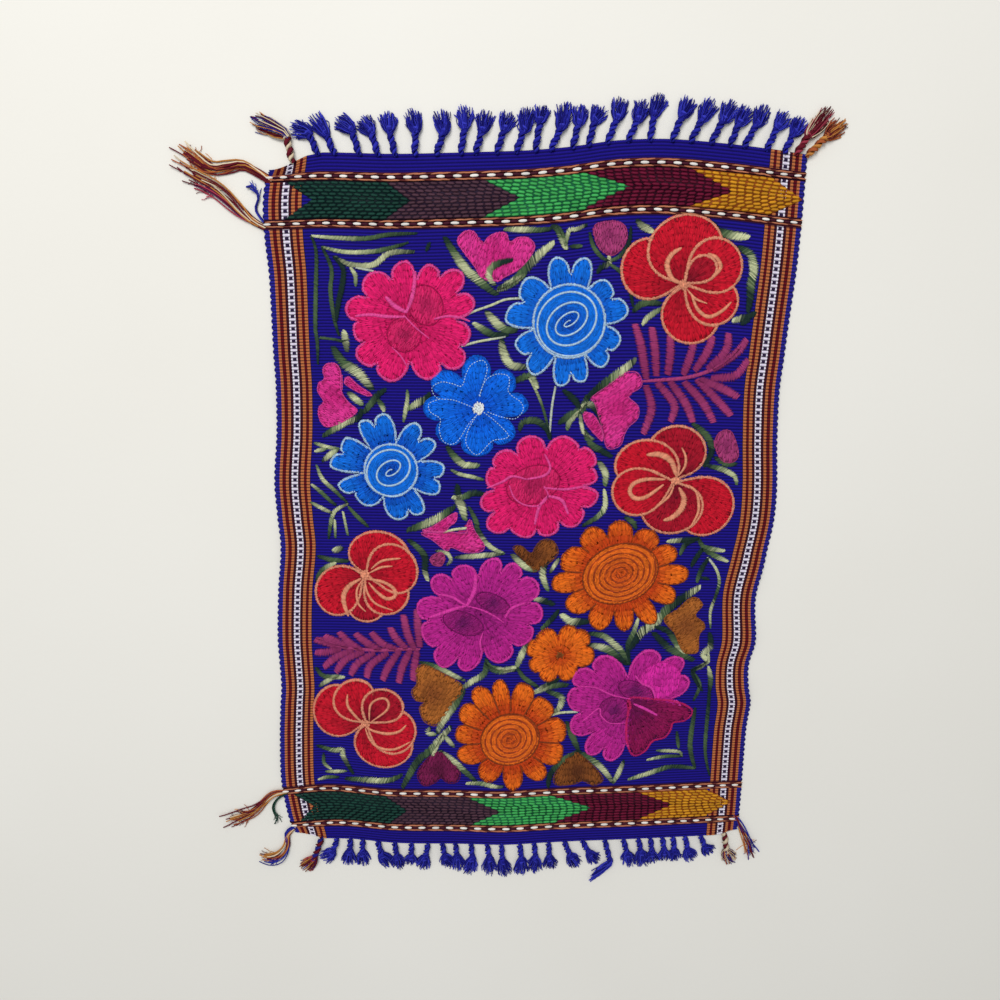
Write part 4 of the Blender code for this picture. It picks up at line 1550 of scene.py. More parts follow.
@dataclass
class Patch:
    """An area filled with satin stitches over a pad, and edged with short ones.

    Args of the class are millimetres and degrees. The hub is where the threads fan out
    from, or the middle of their rings. The spacings are shares of a thread's width and
    length, or of its length and width for a fan.
    """

    slant_spacing = (0.69, 0.72)
    ring_spacing = (0.73, 0.55)
    fan_spacing = (0.6, 0.72)
    turn_share = 0.3
    rim = 0.4

    outline: np.ndarray
    tone: Tone
    hub: Optional[Point] = None
    lie: Lie = Lie.FAN
    slant: float = 90.0
    rise: float = 0.9
    slope: float = 6.0
    length: float = 7.0
    width: float = 1.02
    edge: float = 2.0
    turns: Optional[Tuple[float, Colour]] = None
    squash: float = 1.0
    turn: float = 0.0
    foot: float = 0.0

    def middle(self) -> np.ndarray:
        """The hub, or the middle of the outline."""
        return np.array(self.hub if self.hub is not None else self.outline.mean(axis=0), float)

    def swell(self, points: np.ndarray) -> np.ndarray:
        """Height of the patch over the cloth at places, 0 outside it."""
        profile = np.sqrt(np.clip(depth_in(self.outline, points) / self.slope, 0, 1))
        return np.where(within(self.outline, points), self.rise * profile, 0.0)

    def threads(self, dice: np.random.Generator) -> Tuple[np.ndarray, np.ndarray]:
        """Middles and directions of the filling threads.

        Args:
            dice: Source of their unevenness.

        Returns:
            The middles, and the directions in radians.
        """
        hub = self.middle()
        reach = np.linalg.norm(self.outline - hub, axis=1).max()
        if self.lie is Lie.SLANT:
            rows = np.arange(-reach, reach, self.width * self.slant_spacing[0])
            marks = np.arange(-reach, reach, self.length * self.slant_spacing[1])
            row, mark = np.meshgrid(rows, marks, indexing="ij")
            mark = mark + dice.uniform(0, self.length, len(rows))[:, None]
            heading = math.radians(self.slant)
            axis = np.array([math.cos(heading), math.sin(heading)])
            side = np.array([-axis[1], axis[0]])
            places = hub + mark.reshape(-1, 1) * axis + row.reshape(-1, 1) * side
            angles = heading + dice.normal(0, 0.05, len(places))
        else:
            fan = self.lie is Lie.FAN
            sides = (self.length, self.width) if fan else (self.width, self.length)
            step, across = (side * share for side, share
                            in zip(sides, self.fan_spacing if fan else self.ring_spacing))
            parts = []
            for radius in np.arange(step / 2, reach + step, step):
                count = max(int(2 * math.pi * radius / across), 3)
                angle = (np.arange(count) + dice.uniform()) * 2 * math.pi / count
                drift = dice.uniform(-0.3, 0.3, count) * (step if fan else 0.2)
                parts.append(np.c_[angle, radius + drift])
            angle, radius = np.concatenate(parts).T
            places = hub + self._ring(np.cos(angle) * radius, np.sin(angle) * radius)
            lead = angle + (0 if fan else math.pi / 2)
            run = self._ring(np.cos(lead), np.sin(lead))
            angles = np.arctan2(run[:, 1], run[:, 0]) + dice.normal(0, 0.06, len(angle))
        keep = within(self.outline, places)
        keep[keep] = depth_in(self.outline, places[keep]) > self.rim
        return places[keep], angles[keep]

    def _ring(self, u: np.ndarray, v: np.ndarray) -> np.ndarray:
        """Offsets on the floor for places on round rings, squashed and turned."""
        return turned((0.0, 0.0), u, v * self.squash, self.turn)

    def tint(self, places: np.ndarray, dice: np.random.Generator) -> np.ndarray:
        """Linear colour of each filling thread."""
        hub = self.middle()
        reach = np.linalg.norm(self.outline - hub, axis=1).max()
        offset = places - hub
        share = np.clip(np.linalg.norm(offset, axis=1) / reach - self.foot, 0, 1) / (1 - self.foot)
        mix = smooth_step(share * 1.3 + 0.05 + dice.normal(0, 0.07, len(places)))[:, None]
        light, deep = np.array(linear(self.tone.light)), np.array(linear(self.tone.deep))
        tint = deep + (light - deep) * mix
        if self.turns:
            pitch, second = self.turns
            turn = math.radians(self.turn)
            u = offset @ np.array([math.cos(turn), math.sin(turn)])
            v = offset @ np.array([-math.sin(turn), math.cos(turn)]) / self.squash
            wave = (np.hypot(u, v) / pitch - np.arctan2(v, u) / (2 * math.pi)) % 1.0
            tint = np.where((wave < self.turn_share)[:, None], np.array(linear(second)), tint)
        return tint * dice.uniform(0.78, 1.3, (len(places), 1))


class Hoop:
    """Works patches and lines into one piece, each over what lies under it."""

    layer_height = 0.16
    pad_shares = (0.97, 0.86, 0.62, 0.3, 0.06)
    # Pads take the patch's deep thread colour darkened, as painted shade in the gaps between threads
    pad_painted_shade = 0.62
    pad_foot = 0.5
    pad_depth = 0.22
    thread_height = 0.62
    fill_lift = 0.04
    edge_pitch = 0.95
    edge_width = 0.95
    edge_height = 0.65
    edge_lean = 0.35
    edge_lift = 0.14
    line_pitch = 0.72
    line_lift = 0.22
    run_pitch = 1.9
    run_size = (1.5, 0.75, 0.6)

    def __init__(self, weave: WeaveMap, seed: int) -> None:
        """Start with bare cloth and the seed of the threads' unevenness."""
        self.weave = weave
        self.basket = StitchBasket(seed)
        self.patches: List[Patch] = []

    def height(self, points: np.ndarray) -> np.ndarray:
        """Height of the work so far over the floor, millimetres."""
        swell, layers = np.zeros(len(points)), np.zeros(len(points))
        for patch in self.patches:
            part = patch.swell(points)
            swell = np.maximum(swell, part)
            layers += part > 0
        return self.weave.face_at(points[:, 0], points[:, 1]) + swell + self.layer_height * layers

    def _set_down(self, places: np.ndarray, angles: np.ndarray, sizes: np.ndarray,
                  tints: np.ndarray, over: float) -> None:
        """Put threads on the work, tilted with it.

        Args:
            places: Their middles.
            angles: Their directions.
            sizes: Their sizes.
            tints: Their linear colours.
            over: How far their middles stand over the work.
        """
        half = np.c_[np.cos(angles), np.sin(angles)] * sizes[:, :1] * 0.4
        front, back = self.height(places + half), self.height(places - half)
        tilt = -np.arctan2(front - back, 0.8 * sizes[:, 0])
        level = (front + back + 2 * self.height(places)) / 4 + over
        self.basket.add(np.c_[places, level], angles, sizes, tints, tilt)

    def fill(self, patch: Patch) -> None:
        """Work a patch: its pad, its filling and its edging.

        Args:
            patch: The patch.
        """
        self.patches.append(patch)
        dice = self.basket.dice
        loop = even_loop(patch.outline, max(len(patch.outline) / 60, 2.4))
        hub = loop.mean(axis=0)
        rings = [np.c_[loop, self.weave.face_at(loop[:, 0], loop[:, 1]) - self.pad_foot]]
        for share in self.pad_shares:
            ring = hub + (loop - hub) * share
            rings.append(np.c_[ring, self.height(ring) - self.pad_depth])
        # The pad is painted shade: a darker copy of the thread colour, seen between the stitches
        self.basket.add_pad(rings, np.array(linear(patch.tone.deep)) * self.pad_painted_shade)
        places, angles = patch.threads(dice)
        room = 2 * depth_in(patch.outline, places) + 1.6
        long = np.minimum(patch.length * dice.uniform(0.85, 1.15, len(places)), room)
        sizes = sized(long, patch.width, self.thread_height)
        self._set_down(places, angles, sizes, patch.tint(places, dice), self.fill_lift)
        if patch.edge > 0:
            self._edge(patch, dice)

    def _edge(self, patch: Patch, dice: np.random.Generator) -> None:
        """Work the short stitches round a patch.

        Args:
            patch: The patch.
            dice: Source of their unevenness.
        """
        loop = even_loop(patch.outline, self.edge_pitch)
        run = np.roll(loop, -1, axis=0) - np.roll(loop, 1, axis=0)
        outward = np.arctan2(run[:, 1], run[:, 0]) - math.pi / 2
        inset = np.c_[np.cos(outward), np.sin(outward)] * patch.edge * 0.3
        sign = 1.0 if within(patch.outline, loop[:1] - inset[:1] * 0.5)[0] else -1.0
        places = loop - inset * sign
        count = len(loop)
        angles = outward + self.edge_lean + dice.normal(0, 0.12, count)
        sizes = sized(patch.edge * dice.uniform(0.75, 1.3, count), self.edge_width, self.edge_height)
        tint = np.array(linear(patch.tone.edge)) * dice.uniform(0.82, 1.12, (count, 1))
        self._set_down(places, angles, sizes, tint, self.edge_lift)

    def line(self, bends: Sequence[Point], width: float, colours: Sequence[Colour],
             tip: float = 0.3, slant: float = 58.0) -> None:
        """Work one leaf, stem or line of slanted stitches.

        Args:
            bends: Its middle line.
            width: Its greatest width.
            colours: Colours along it, evenly spaced.
            tip: Share of the width that its ends keep.
            slant: Angle of its threads to its middle line.
        """
        dice = self.basket.dice
        run = np.linalg.norm(np.diff(np.array(bends, float), axis=0), axis=1).sum()
        count = max(int(run / self.line_pitch), 4)
        path = spine(bends, count)
        u = np.linspace(0, 1, count)
        local = width * (tip + (1 - tip) * np.sin(np.pi * u) ** 0.55)
        angles = headings(path) + math.radians(slant) + dice.normal(0, 0.06, count)
        long = np.maximum(local / math.sin(math.radians(slant)), 1.1) * dice.uniform(0.92, 1.1, count)
        sizes = sized(long, self.edge_width, self.thread_height)
        marks = np.linspace(0, 1, len(colours)) if len(colours) > 1 else np.array([0.0])
        values = np.array([linear(colour) for colour in colours])
        at = np.clip(u + dice.normal(0, 0.05, count), 0, 1)
        tint = np.stack([np.interp(at, marks, values[:, k]) for k in range(3)], axis=1)
        tint = tint * dice.uniform(0.8, 1.15, (count, 1))
        self._set_down(path, angles, sizes, tint, self.line_lift)

    def run(self, bends: Sequence[Point], colour: Colour) -> None:
        """Work a line of small running stitches.

        Args:
            bends: The line.
            colour: Its colour.
        """
        dice = self.basket.dice
        length = np.linalg.norm(np.diff(np.array(bends, float), axis=0), axis=1).sum()
        path = spine(bends, max(int(length / self.run_pitch), 3))
        sizes = np.tile(self.run_size, (len(path), 1))
        tint = np.array(linear(colour)) * dice.uniform(0.8, 1.1, (len(path), 1))
        self._set_down(path, headings(path), sizes, tint, self.line_lift)

    def lines(self, hub: Point, rows: Sequence[Tuple[float, Sequence[Point]]], colour: Colour,
              tip: float, slant: float) -> None:
        """Work a flower's inner lines.

        Args:
            hub: The flower's hub.
            rows: Width and bends of each line, the bends from the hub.
            colour: Their colour.
            tip: Share of the width that their ends keep.
            slant: Angle of their threads.
        """
        for width, bends in rows:
            self.line(moved(hub, bends), width, [colour], tip, slant)


# Roses: hub, darker bowls (offset, radii, turn and tone), a folded petal, petals from their
# tips, and inner lines with their widths. All that a flower holds is placed from its hub
Rose = namedtuple("Rose", "name x y tone bowls fold lobes lines")
Bowl = namedtuple("Bowl", "x y wide high turn tone")
ROSES = (
    Rose("rose_pink_1", -82, 144, ROSE_PINK,
         (Bowl(11, 11, 12, 14, 20, BOWL_PINK), Bowl(-4, -9, 12, 12, 0, BOWL_PINK)), (),
         ((169, 45, 35), (134, 42, 32), (94, 40.5, 29), (69, 41, 38), (43, 49, 39), (18, 47, 33.5),
          (-12, 43, 39.6), (-38, 47, 37), (-69, 42, 29), (-111, 44, 39), (-145, 45, 37), (-167, 40, 38)),
         ((3.6, ((4, 33), (3, 23), (1, 14), (-2, 7))), (4, ((-16, 16), (-10, 10), (-2, 6))),
          (3, ((-37, 3), (-27, 4), (-16, 3), (-3, 3))), (1.4, ((-4, 4), (4, -4), (13, -11))),
          (2.4, ((17, 2), (26, 4), (35, 3), (41, 1))), (1.4, ((-12, -18), (-6, -24), (-2, -31))))),
    Rose("rose_pink_2", 11, 29, ROSE_PINK, (Bowl(-5, 2, 20, 14, 20, BOWL_PINK),), (),
         ((145, 40, 31), (105, 38.5, 30), (60, 42, 41.7), (32, 46, 42), (11, 42.5, 33), (-7, 43.4, 36),
          (-43, 40, 30.5), (-77, 37, 33), (-108, 39.4, 39), (-140, 48.6, 39), (-162, 45, 34.6),
          (168, 40, 37.6)),
         ((2.4, ((3, 24), (7, 15), (3, 9), (-10, 6))), (2.4, ((-38, -1), (-27, 4), (-20, 8), (-10, 6))),
          (1.6, ((-22, 1), (-18, -8), (-10, -13), (0, -13), (6, -6), (3, 1))),
          (3, ((6, -6), (16, -9), (21, -19))), (3, ((6, -6), (0, -14), (-3, -27))),
          (2.4, ((3, 0), (18, -1), (31, 1), (37, 0))))),
    Rose("rose_purple_1", -30.5, -67.5, ROSE_PURPLE,
         (Bowl(-13, -7, 16, 9, -20, BOWL_PURPLE), Bowl(9, 9, 14, 7, -25, BOWL_PURPLE)), (),
         ((75, 44.8, 37.8), (57, 47, 41.5), (30, 48.8, 39.8), (0, 46.7, 38.9), (-25, 43.1, 35.1),
          (-65, 42.3, 30.3), (-105, 47.4, 39.7), (-125, 52, 43.2), (-157, 47.3, 41.3), (173, 48.1, 34.7),
          (142, 45.5, 35.6), (114, 40.7, 31.2)),
         ((4.2, ((-4, 31), (-4.5, 20), (-8, 11), (-10.5, 6.5))),
          (2.6, ((-31, 15), (-22, 13.5), (-14.5, 9), (-10.5, 6.5))),
          (3.6, ((-38, -3), (-25, 2), (-17, 4.8), (-10.5, 6.5))),
          (1.6, ((-10.5, 6.5), (0, 3.7), (9.7, -1), (17, -6))),
          (2.8, ((18.5, -2), (23, 5), (33, 9))), (2, ((1, -30), (0, -22), (1.7, -15))))),
    Rose("rose_purple_2", 85, -139.5, ROSE_PURPLE,
         (Bowl(22, 20, 17, 15, 30, BRIGHT_PURPLE), Bowl(4, 11, 15, 8, -25, BOWL_PURPLE),
          Bowl(-12, -4, 12, 11, 0, BOWL_PURPLE)),
         ((-0.2, 5), (16, 4.5), (35, 2), (48, -5), (43, -12.5), (34, -14.5), (32, -21), (28, -27),
          (19, -30), (13, -39), (5, -42), (0, -31), (-1.3, -16), (-0.2, -4)),
         ((123, 46.5, 41.7), (150, 50.5, 45), (173, 48.8, 40), (207, 49.9, 38.1), (234, 52.2, 42.6),
          (253, 49.8, 35), (282, 37, 33), (317, 31, 30), (351, 41, 34), (25, 49.3, 42.9),
          (44, 54, 41.6), (71, 47.3, 25.2)),
         ((2.4, ((3, 24), (8, 18), (16, 14), (19, 6))), (1.8, ((-40, 15), (-27, 14), (-14, 8), (0, 5))),
          (1.6, ((-36, -14), (-24, -3), (-22, -9), (-15, -15), (-3, -15))),
          (3, ((3, 1), (12, -3), (21, -8))))),
)

# Flowers with a spiral disc: hub, disc radii and turn, pitch of its spiral, and petals
Bloom = namedtuple("Bloom", "name x y tone disc pitch lobes")
BLOOMS = (
    Bloom("spiral_blue_1", 28, 146, PETAL_BLUE, (25.5, 25.5, 0), 6.5,
          ((104, 44, 33), (76, 44, 27), (46, 38, 34), (12, 42, 27), (-20, 39, 34), (-50, 40, 27),
           (-74, 43, 37), (-97, 45, 27), (-124, 44.5, 35.5), (-155, 41, 27), (-181, 44.6, 35.4),
           (-221, 42, 27))),
    Bloom("spiral_blue_2", -96, 40, PETAL_BLUE, (19.5, 19.5, 0), 7.2,
          ((122, 41, 34.7), (97, 41, 23), (61, 39, 30), (33, 38, 23), (4, 38.5, 32.5), (-24, 38, 23),
           (-54, 38.7, 32.5), (-81, 37, 22), (-132, 33, 31.7), (-163, 40, 23), (176, 44, 37),
           (146, 40, 23))),
    Bloom("orange_1", 72.4, -35, ORANGE, (29, 23.0, 22), 4.4,
          ((94, 40.4, 33), (127, 42.6, 37.4), (165, 45.4, 44), (192, 51.6, 39.3), (215, 47.7, 37.9),
           (252, 46.8, 34.6), (277, 45.4, 34.1), (306, 48.1, 31.7), (333, 46.8, 40.8), (1, 51.5, 39.5),
           (23, 44.9, 36.1), (54, 40, 32.4))),
    Bloom("orange_2", -6.6, -169, ORANGE, (23.5, 21.6, 30), 4.2,
          ((100, 50, 42.3), (122, 50.3, 43.1), (146, 45.7, 39.9), (176, 42.4, 35.9), (200, 43.3, 32.2),
           (244, 41.1, 29.7), (274, 44.4, 31.6), (308, 43.6, 35.2), (336, 43.8, 41.2), (15, 44.3, 37.5),
           (45, 43.1, 41.4), (80, 47.8, 35.1))),
)
SMALL_LOBES = ((120, 23.9, 15.3), (74, 24.9, 23.7), (41, 27.4, 21.4), (-1, 26.6, 16.6),
               (-69, 22, 16.2), (-117, 23.8, 20.5), (-157, 24.7, 19.9), (170, 25.8, 22.1))
CLOVER_LOBES = ((146, 39, 23.8), (92, 37, 24.4), (48, 34, 25.6), (4, 35.5, 19), (-38, 32.5, 25.8),
                (-92, 34, 26.3), (-142, 35.5, 27.7), (-180, 39, 28))
# Running stitches inside the edge of each heart-shaped petal
CLOVER_RUNS = (
    ((1, 9), (2.4, 15), (6, 21), (13, 24.3), (20.5, 23), (21.4, 17), (20.5, 13.3), (23.3, 9.5), (30, 4.8),
     (31.4, -1), (26, -6.7), (16.7, -5.7), (7, -2.4)),
    ((-4.3, 1), (-17.6, 5.7), (-29, 6.9), (-32.8, 13.8), (-26.2, 18.1), (-18.6, 17.1), (-11.9, 15.7),
     (-9, 23.8), (-5.2, 30.5), (2.4, 33.5), (5.7, 28.6), (4.3, 21), (0.5, 9.5)),
    ((-28, 6), (-34.8, 2.9), (-33.8, -2.9), (-27.1, -7.6), (-27.6, -15.2), (-25.2, -22.9), (-19.5, -25.7),
     (-13.8, -22.4), (-7.1, -11.4), (-1.4, -4.8)),
    ((-2, -6), (-6.2, -13.3), (-8.6, -21), (-8, -26), (-3.3, -31.9), (1.4, -31.9), (10, -22.9), (18.6, -21),
     (21.4, -18.1), (11.9, -8.6), (4.3, -2.9)),
)

# Poppies: hub, then for each petal the directions where it starts, peaks and ends, and its
# reach, and inner lines with their widths
Petal = namedtuple("Petal", "start peak end reach dark")
Poppy = namedtuple("Poppy", "name x y petals lines")
POPPIES = (
    Poppy("poppy_1", 105.7, 172,
          (Petal(110, 155, 215, 46, False), Petal(30, 85, 168, 47, False), Petal(210, 292, 345, 41.5, False),
           Petal(-82, -24, 20, 42, False), Petal(-20, 30, 86, 44, False), Petal(2, 38, 85, 27, True)),
          ((4.5, ((-3, 24), (-9, 20), (-12, 13), (-8, 4), (-1, 1))),
           (3.4, ((16, 21), (22, 18), (25, 12), (21, 6))),
           (3.2, ((6, -6), (11, -16), (19, -21), (28, -17), (34, -11))),
           (2, ((3, -3), (9, -9), (17, -12))))),
    Poppy("poppy_2", 109.2, 35.2,
          (Petal(20, 92, 160, 40.5, True), Petal(60, 160, 196, 47, False), Petal(-92, -40, 15, 51, False),
           Petal(198, 262, 345, 40, True), Petal(153, 196, 244, 47.5, False)),
          ((5.5, ((0, 4), (-4, 14), (-12, 19), (-22, 19))), (2.4, ((2, 4), (6, 11), (6, 18), (3, 24))),
           (4, ((-8, 1), (-21, 1), (-30, -2), (-33, -8), (-29, -13), (-21, -12), (-9, -3))),
           (5.5, ((3, -5), (7, -13), (5, -21), (-1, -27), (-7, -29))),
           (2.2, ((-1, -3), (-4, -11), (-11, -18))),
           (2.6, ((10, -3), (16, -9), (18, -22), (13, -34))))),
    Poppy("poppy_3", -116, -38,
          (Petal(0, 40, 146, 38, False), Petal(222, 272, 322, 37, True), Petal(-100, -42, 12, 38, False),
           Petal(-40, 8, 82, 39.5, False), Petal(140, 218, 262, 42, False)),
          ((2.4, ((5, 5), (13, 11), (26, 13))), (2.2, ((4, 2), (12, 6), (20, 7))),
           (3.4, ((2, -3), (13, -5), (21, -10), (22, -16), (16, -18), (9, -13), (3, -6))),
           (2.2, ((-2, -4), (-6, -12), (-5, -22), (0, -28))),
           (4.6, ((-3, -3), (-12, -9), (-16, -18), (-13, -32))),
           (2.2, ((0, -4), (2, -14), (8, -22), (20, -27))))),
    Poppy("poppy_4", -117.6, -156.5,
          (Petal(106, 147, 222, 43, False), Petal(66, 108, 172, 37.5, False), Petal(-148, -45, 0, 44, False),
           Petal(-75, -18, 42, 40, False), Petal(0, 42, 108, 34.5, True)),
          ((2.4, ((3, 3), (4, 15), (9, 20), (15, 21), (18, 17), (16, 11), (5, 2))),
           (3, ((1, -3), (7, -6), (17, -8), (26, -6), (31, -1))),
           (2.8, ((0, -4), (4, -14), (11, -20), (22, -21), (34, -15))),
           (2.8, ((-13, 24), (-13, 15), (-7, 6), (-2, 1))))),
)

# Buds, tulips and hearts: their tone, the direction of their threads and their outline
Shape = namedtuple("Shape", "tone slant outline")
SHAPES = (
    Shape(TULIP_PINK, 75, (
        (-33, 174), (-38, 181), (-46, 191), (-50, 197), (-48, 202), (-42, 205), (-37, 203), (-33, 196),
        (-29, 201), (-22, 204), (-16, 203), (-14, 198), (-9, 201), (-2, 201), (3, 197), (2, 191), (-6, 181),
        (-18, 174), (-21, 172))),
    Shape(TULIP_PINK, 150, (
        (-130, 109), (-134, 115), (-141, 114), (-143, 109), (-142, 104), (-146, 101), (-147, 95),
        (-143, 88), (-146, 85), (-147, 80), (-145, 73), (-140, 70), (-129, 74), (-119, 82), (-125, 88),
        (-130, 96))),
    Shape(TULIP_PINK, 150, (
        (-125, 106), (-118, 100), (-109, 94), (-111, 92), (-121, 96), (-128, 101))),
    Shape(TULIP_PINK, 40, (
        (46, 94), (58, 103), (68, 111), (76, 112), (80, 108), (80, 102), (72, 97), (72, 94), (79, 88),
        (79, 80), (73, 74), (70, 68), (68, 61), (62, 58), (58, 60), (54, 74), (48, 91))),
    Shape(TULIP_PINK, 40, (
        (40, 82), (42, 76), (49, 68), (55, 63), (54, 72), (48, 82), (41, 84))),
    Shape(TULIP_PINK, 30, (
        (-74, -4), (-67, -1), (-58, 5), (-49, 10), (-49, 3), (-54, -1), (-58, -5))),
    Shape(TULIP_PINK, 20, (
        (-74, -6), (-66, -11), (-56, -19), (-53, -16), (-42, -20), (-31, -19), (-29, -14), (-36, -4),
        (-39, 4), (-41, 0), (-42, -6), (-58, -5))),
    Shape(MAUVE, 90, (
        (43, 210), (48, 212), (57, 213), (64, 210), (66, 202), (62, 194), (56, 190), (50, 192), (45, 197),
        (43, 203))),
    Shape(MAUVE, 90, (
        (136, 67), (140, 72), (147, 72), (152, 63), (154, 54), (150, 49), (142, 50), (136, 60))),
    Shape(MAUVE, 30, (
        (-68, -24), (-60, -20), (-57, -25), (-60, -31), (-66, -30))),
    Shape(BROWN, 60, (
        (-7, -17), (-2, -15), (6, -21), (9, -16), (13, -11), (20, -10), (25, -16), (24, -23), (10, -34),
        (6, -31))),
    Shape(TAN, 40, (
        (107, -70), (117, -62), (125, -54), (131, -53), (136, -59), (131, -67), (137, -72), (139, -77),
        (135, -83), (135, -96), (128, -98), (122, -95), (115, -80))),
    Shape(TAN, 60, (
        (-78, -111), (-72, -108), (-63, -113), (-52, -119), (-44, -125), (-44, -131), (-50, -138),
        (-57, -150), (-64, -158), (-72, -155), (-75, -149), (-76, -143), (-72, -139), (-79, -137),
        (-82, -130), (-78, -124), (-79, -115))),
    Shape(PLUM, 90, (
        (-61, -180), (-69, -185), (-77, -196), (-77, -204), (-72, -209), (-64, -206), (-60, -202),
        (-55, -206), (-48, -206), (-45, -200), (-48, -192), (-55, -185))),
    Shape(BROWN, 90, (
        (45, -180), (38, -185), (29, -200), (31, -208), (45, -207), (51, -204), (60, -208), (67, -203),
        (59, -192), (50, -183))),
)

# Ferns: their spines, and their fronds from tip to root
Fern = namedtuple("Fern", "name spine fronds")
FERNS = (
    Fern("fern_1", ((81, 106), (93, 107), (112, 109), (128, 114), (141, 122), (152, 134)),
         (((74, 145), (79, 131), (84, 108)), ((86, 143), (89, 128), (91, 110)),
          ((99, 139), (100, 126), (99, 111)),
          ((116, 134), (114, 123), (110, 111)), ((129, 138), (126, 127), (118, 114)),
          ((140, 140), (139, 128), (127, 115)), ((153, 136), (147, 127), (131, 115)),
          ((84, 69), (89, 87), (84, 103)), ((103, 78), (105, 90), (92, 105)),
          ((119, 78), (113, 91), (101, 106)),
          ((134, 78), (125, 92), (111, 106)), ((146, 83), (136, 93), (120, 108)),
          ((150, 96), (138, 102), (122, 108)), ((155, 122), (147, 111), (130, 109)))),
    Fern("fern_2", ((-76, -96), (-89, -96), (-106, -97), (-125, -96), (-141, -93), (-153, -88)),
         (((-78, -65), (-77, -81), (-76, -94)), ((-88, -69), (-85, -84), (-80, -96)),
          ((-98, -79), (-94, -87), (-86, -96)), ((-112, -83), (-104, -92), (-94, -96)),
          ((-124, -84), (-116, -91), (-106, -97)), ((-136, -83), (-129, -91), (-120, -97)),
          ((-147, -86), (-139, -90), (-130, -95)), ((-154, -89), (-146, -91), (-137, -95)),
          ((-81, -121), (-80, -110), (-78, -97)), ((-92, -123), (-89, -110), (-83, -97)),
          ((-104, -121), (-100, -111), (-91, -97)), ((-116, -119), (-113, -109), (-100, -99)),
          ((-128, -117), (-123, -108), (-110, -99)), ((-139, -115), (-132, -105), (-118, -98)),
          ((-148, -111), (-139, -103), (-126, -97)), ((-154, -99), (-146, -99), (-135, -96)))),
)

# Leaves and stems: greatest width, colours along them, and their middle line. The letters
# stand for green, pale green, cream and a thin whitish line
LEAF_COLOURS = {"g": LEAF_GREEN, "p": LEAF_PALE, "c": LEAF_CREAM, "w": LINE_WHITE}
Stroke = namedtuple("Stroke", "width colours bends")


def strokes(*rows: Sequence[object]) -> Tuple[Stroke, ...]:
    """Leaves from rows of a width, letters and bends."""
    return tuple(Stroke(width, [LEAF_COLOURS[letter] for letter in letters], bends)
                 for width, letters, *bends in rows)


STROKES_TOP = strokes(
    (3, "gpg", (-148, 199), (-145, 188), (-146, 163), (-147, 139), (-146, 129), (-146, 114)),
    (3, "cpg", (-148, 199), (-131, 198), (-112, 198), (-95, 201), (-77, 202)),
    (3, "gpg", (-141, 192), (-135, 178), (-136, 163), (-134, 145), (-131, 134)),
    (3, "pcpg", (-141, 192), (-125, 189), (-105, 190), (-89, 194), (-83, 196)),
    (4, "gg", (-133, 186), (-127, 178), (-128, 167), (-131, 155), (-133, 143)),
    (4, "gcg", (-133, 186), (-122, 181), (-107, 181), (-95, 189), (-79, 190)),
    (3, "cp", (-122, 179), (-119, 174), (-119, 167)),
    (1.5, "w", (-118, 179), (-107, 177)),
    (3, "gg", (-71, 191), (-68, 196)),
    (2, "pg", (-144, 132), (-134, 131), (-129, 130), (-125, 131)),
    (5, "cg", (-127, 137), (-126, 123)),
    (7, "gpcg", (-135, 126), (-129, 116), (-118, 108), (-109, 97)),
    (6, "gpcpg", (-58, 200), (-53, 192), (-44, 180), (-36, 173), (-27, 166), (-22, 163)),
    (5, "gcp", (-22, 166), (-13, 171), (-3, 177)),
    (1.6, "wcw", (-46, 148), (-37, 152), (-26, 156), (-16, 160), (-4, 161)),
    (1.6, "wcw", (-46, 128), (-36, 131), (-26, 133), (-16, 135)),
    (6, "gcpg", (-29, 152), (-24, 146), (-17, 140), (-8, 139)),
    (5, "cpgg", (-38, 144), (-32, 140), (-24, 136), (-14, 136)),
    (6, "gcg", (-18, 133), (-17, 125), (-12, 116), (-1, 114)),
    (5, "gcpg", (-30, 174), (-25, 180), (-18, 186), (-10, 188)),
    (4, "pcpg", (-18, 206), (-4, 206), (6, 206), (14, 207)),
    (5, "gpc", (14, 209), (19, 206), (24, 194)),
    (3, "gpp", (18, 209), (22, 202), (24, 195)),
    (3, "gcp", (38, 210), (31, 207), (26, 206), (24, 197)),
    (3, "pg", (35, 196), (27, 196)),
    (6, "gppgcc", (-22, 167), (-11, 172), (3, 187), (16, 198)),
    (3, "gpg", (40, 205), (43, 196), (49, 189), (54, 187)),
    (3, "ggp", (68, 209), (67, 199), (61, 190), (54, 187)),
    (4, "cgg", (54, 190), (54, 185), (49, 183), (46, 179)),
    (3, "pgg", (54, 185), (62, 180), (68, 172), (72, 157)),
    (5, "gc", (72, 214), (76, 210), (83, 206)),
    (6, "ggpcc", (122, 214), (128, 208), (139, 205), (149, 204)),
    (6, "gpcpgg", (142, 198), (151, 193), (154, 184), (153, 173), (153, 162), (152, 155)),
    (5, "cgg", (142, 149), (151, 151), (158, 154)),
    (4, "gg", (148, 147), (154, 149)),
    (5, "gpg", (72, 154), (78, 159), (85, 160), (91, 159)),
    (4, "cp", (79, 145), (83, 150), (92, 156)),
    (6, "gcpgg", (76, 121), (68, 114), (60, 108), (48, 99), (43, 94)),
    (5, "gg", (26, 99), (33, 93), (38, 86)),
    (6, "gpg", (43, 95), (40, 86), (31, 81), (23, 76)),
    (5, "cgg", (38, 85), (43, 90), (51, 84), (54, 75)),
    (4, "pc", (29, 71), (31, 77), (37, 84)),
    (2, "cpg", (1, 108), (7, 97), (12, 85), (17, 68)),
    (1.6, "ww", (20, 101), (18, 87), (17, 69)),
    (5, "gpgg", (-5, 70), (-2, 76), (7, 77), (15, 71), (17, 64)),
    (3, "gcg", (38, 84), (41, 70), (49, 64)),
    (5, "gpc", (-9, 104), (-6, 106), (2, 108), (7, 100)),
)
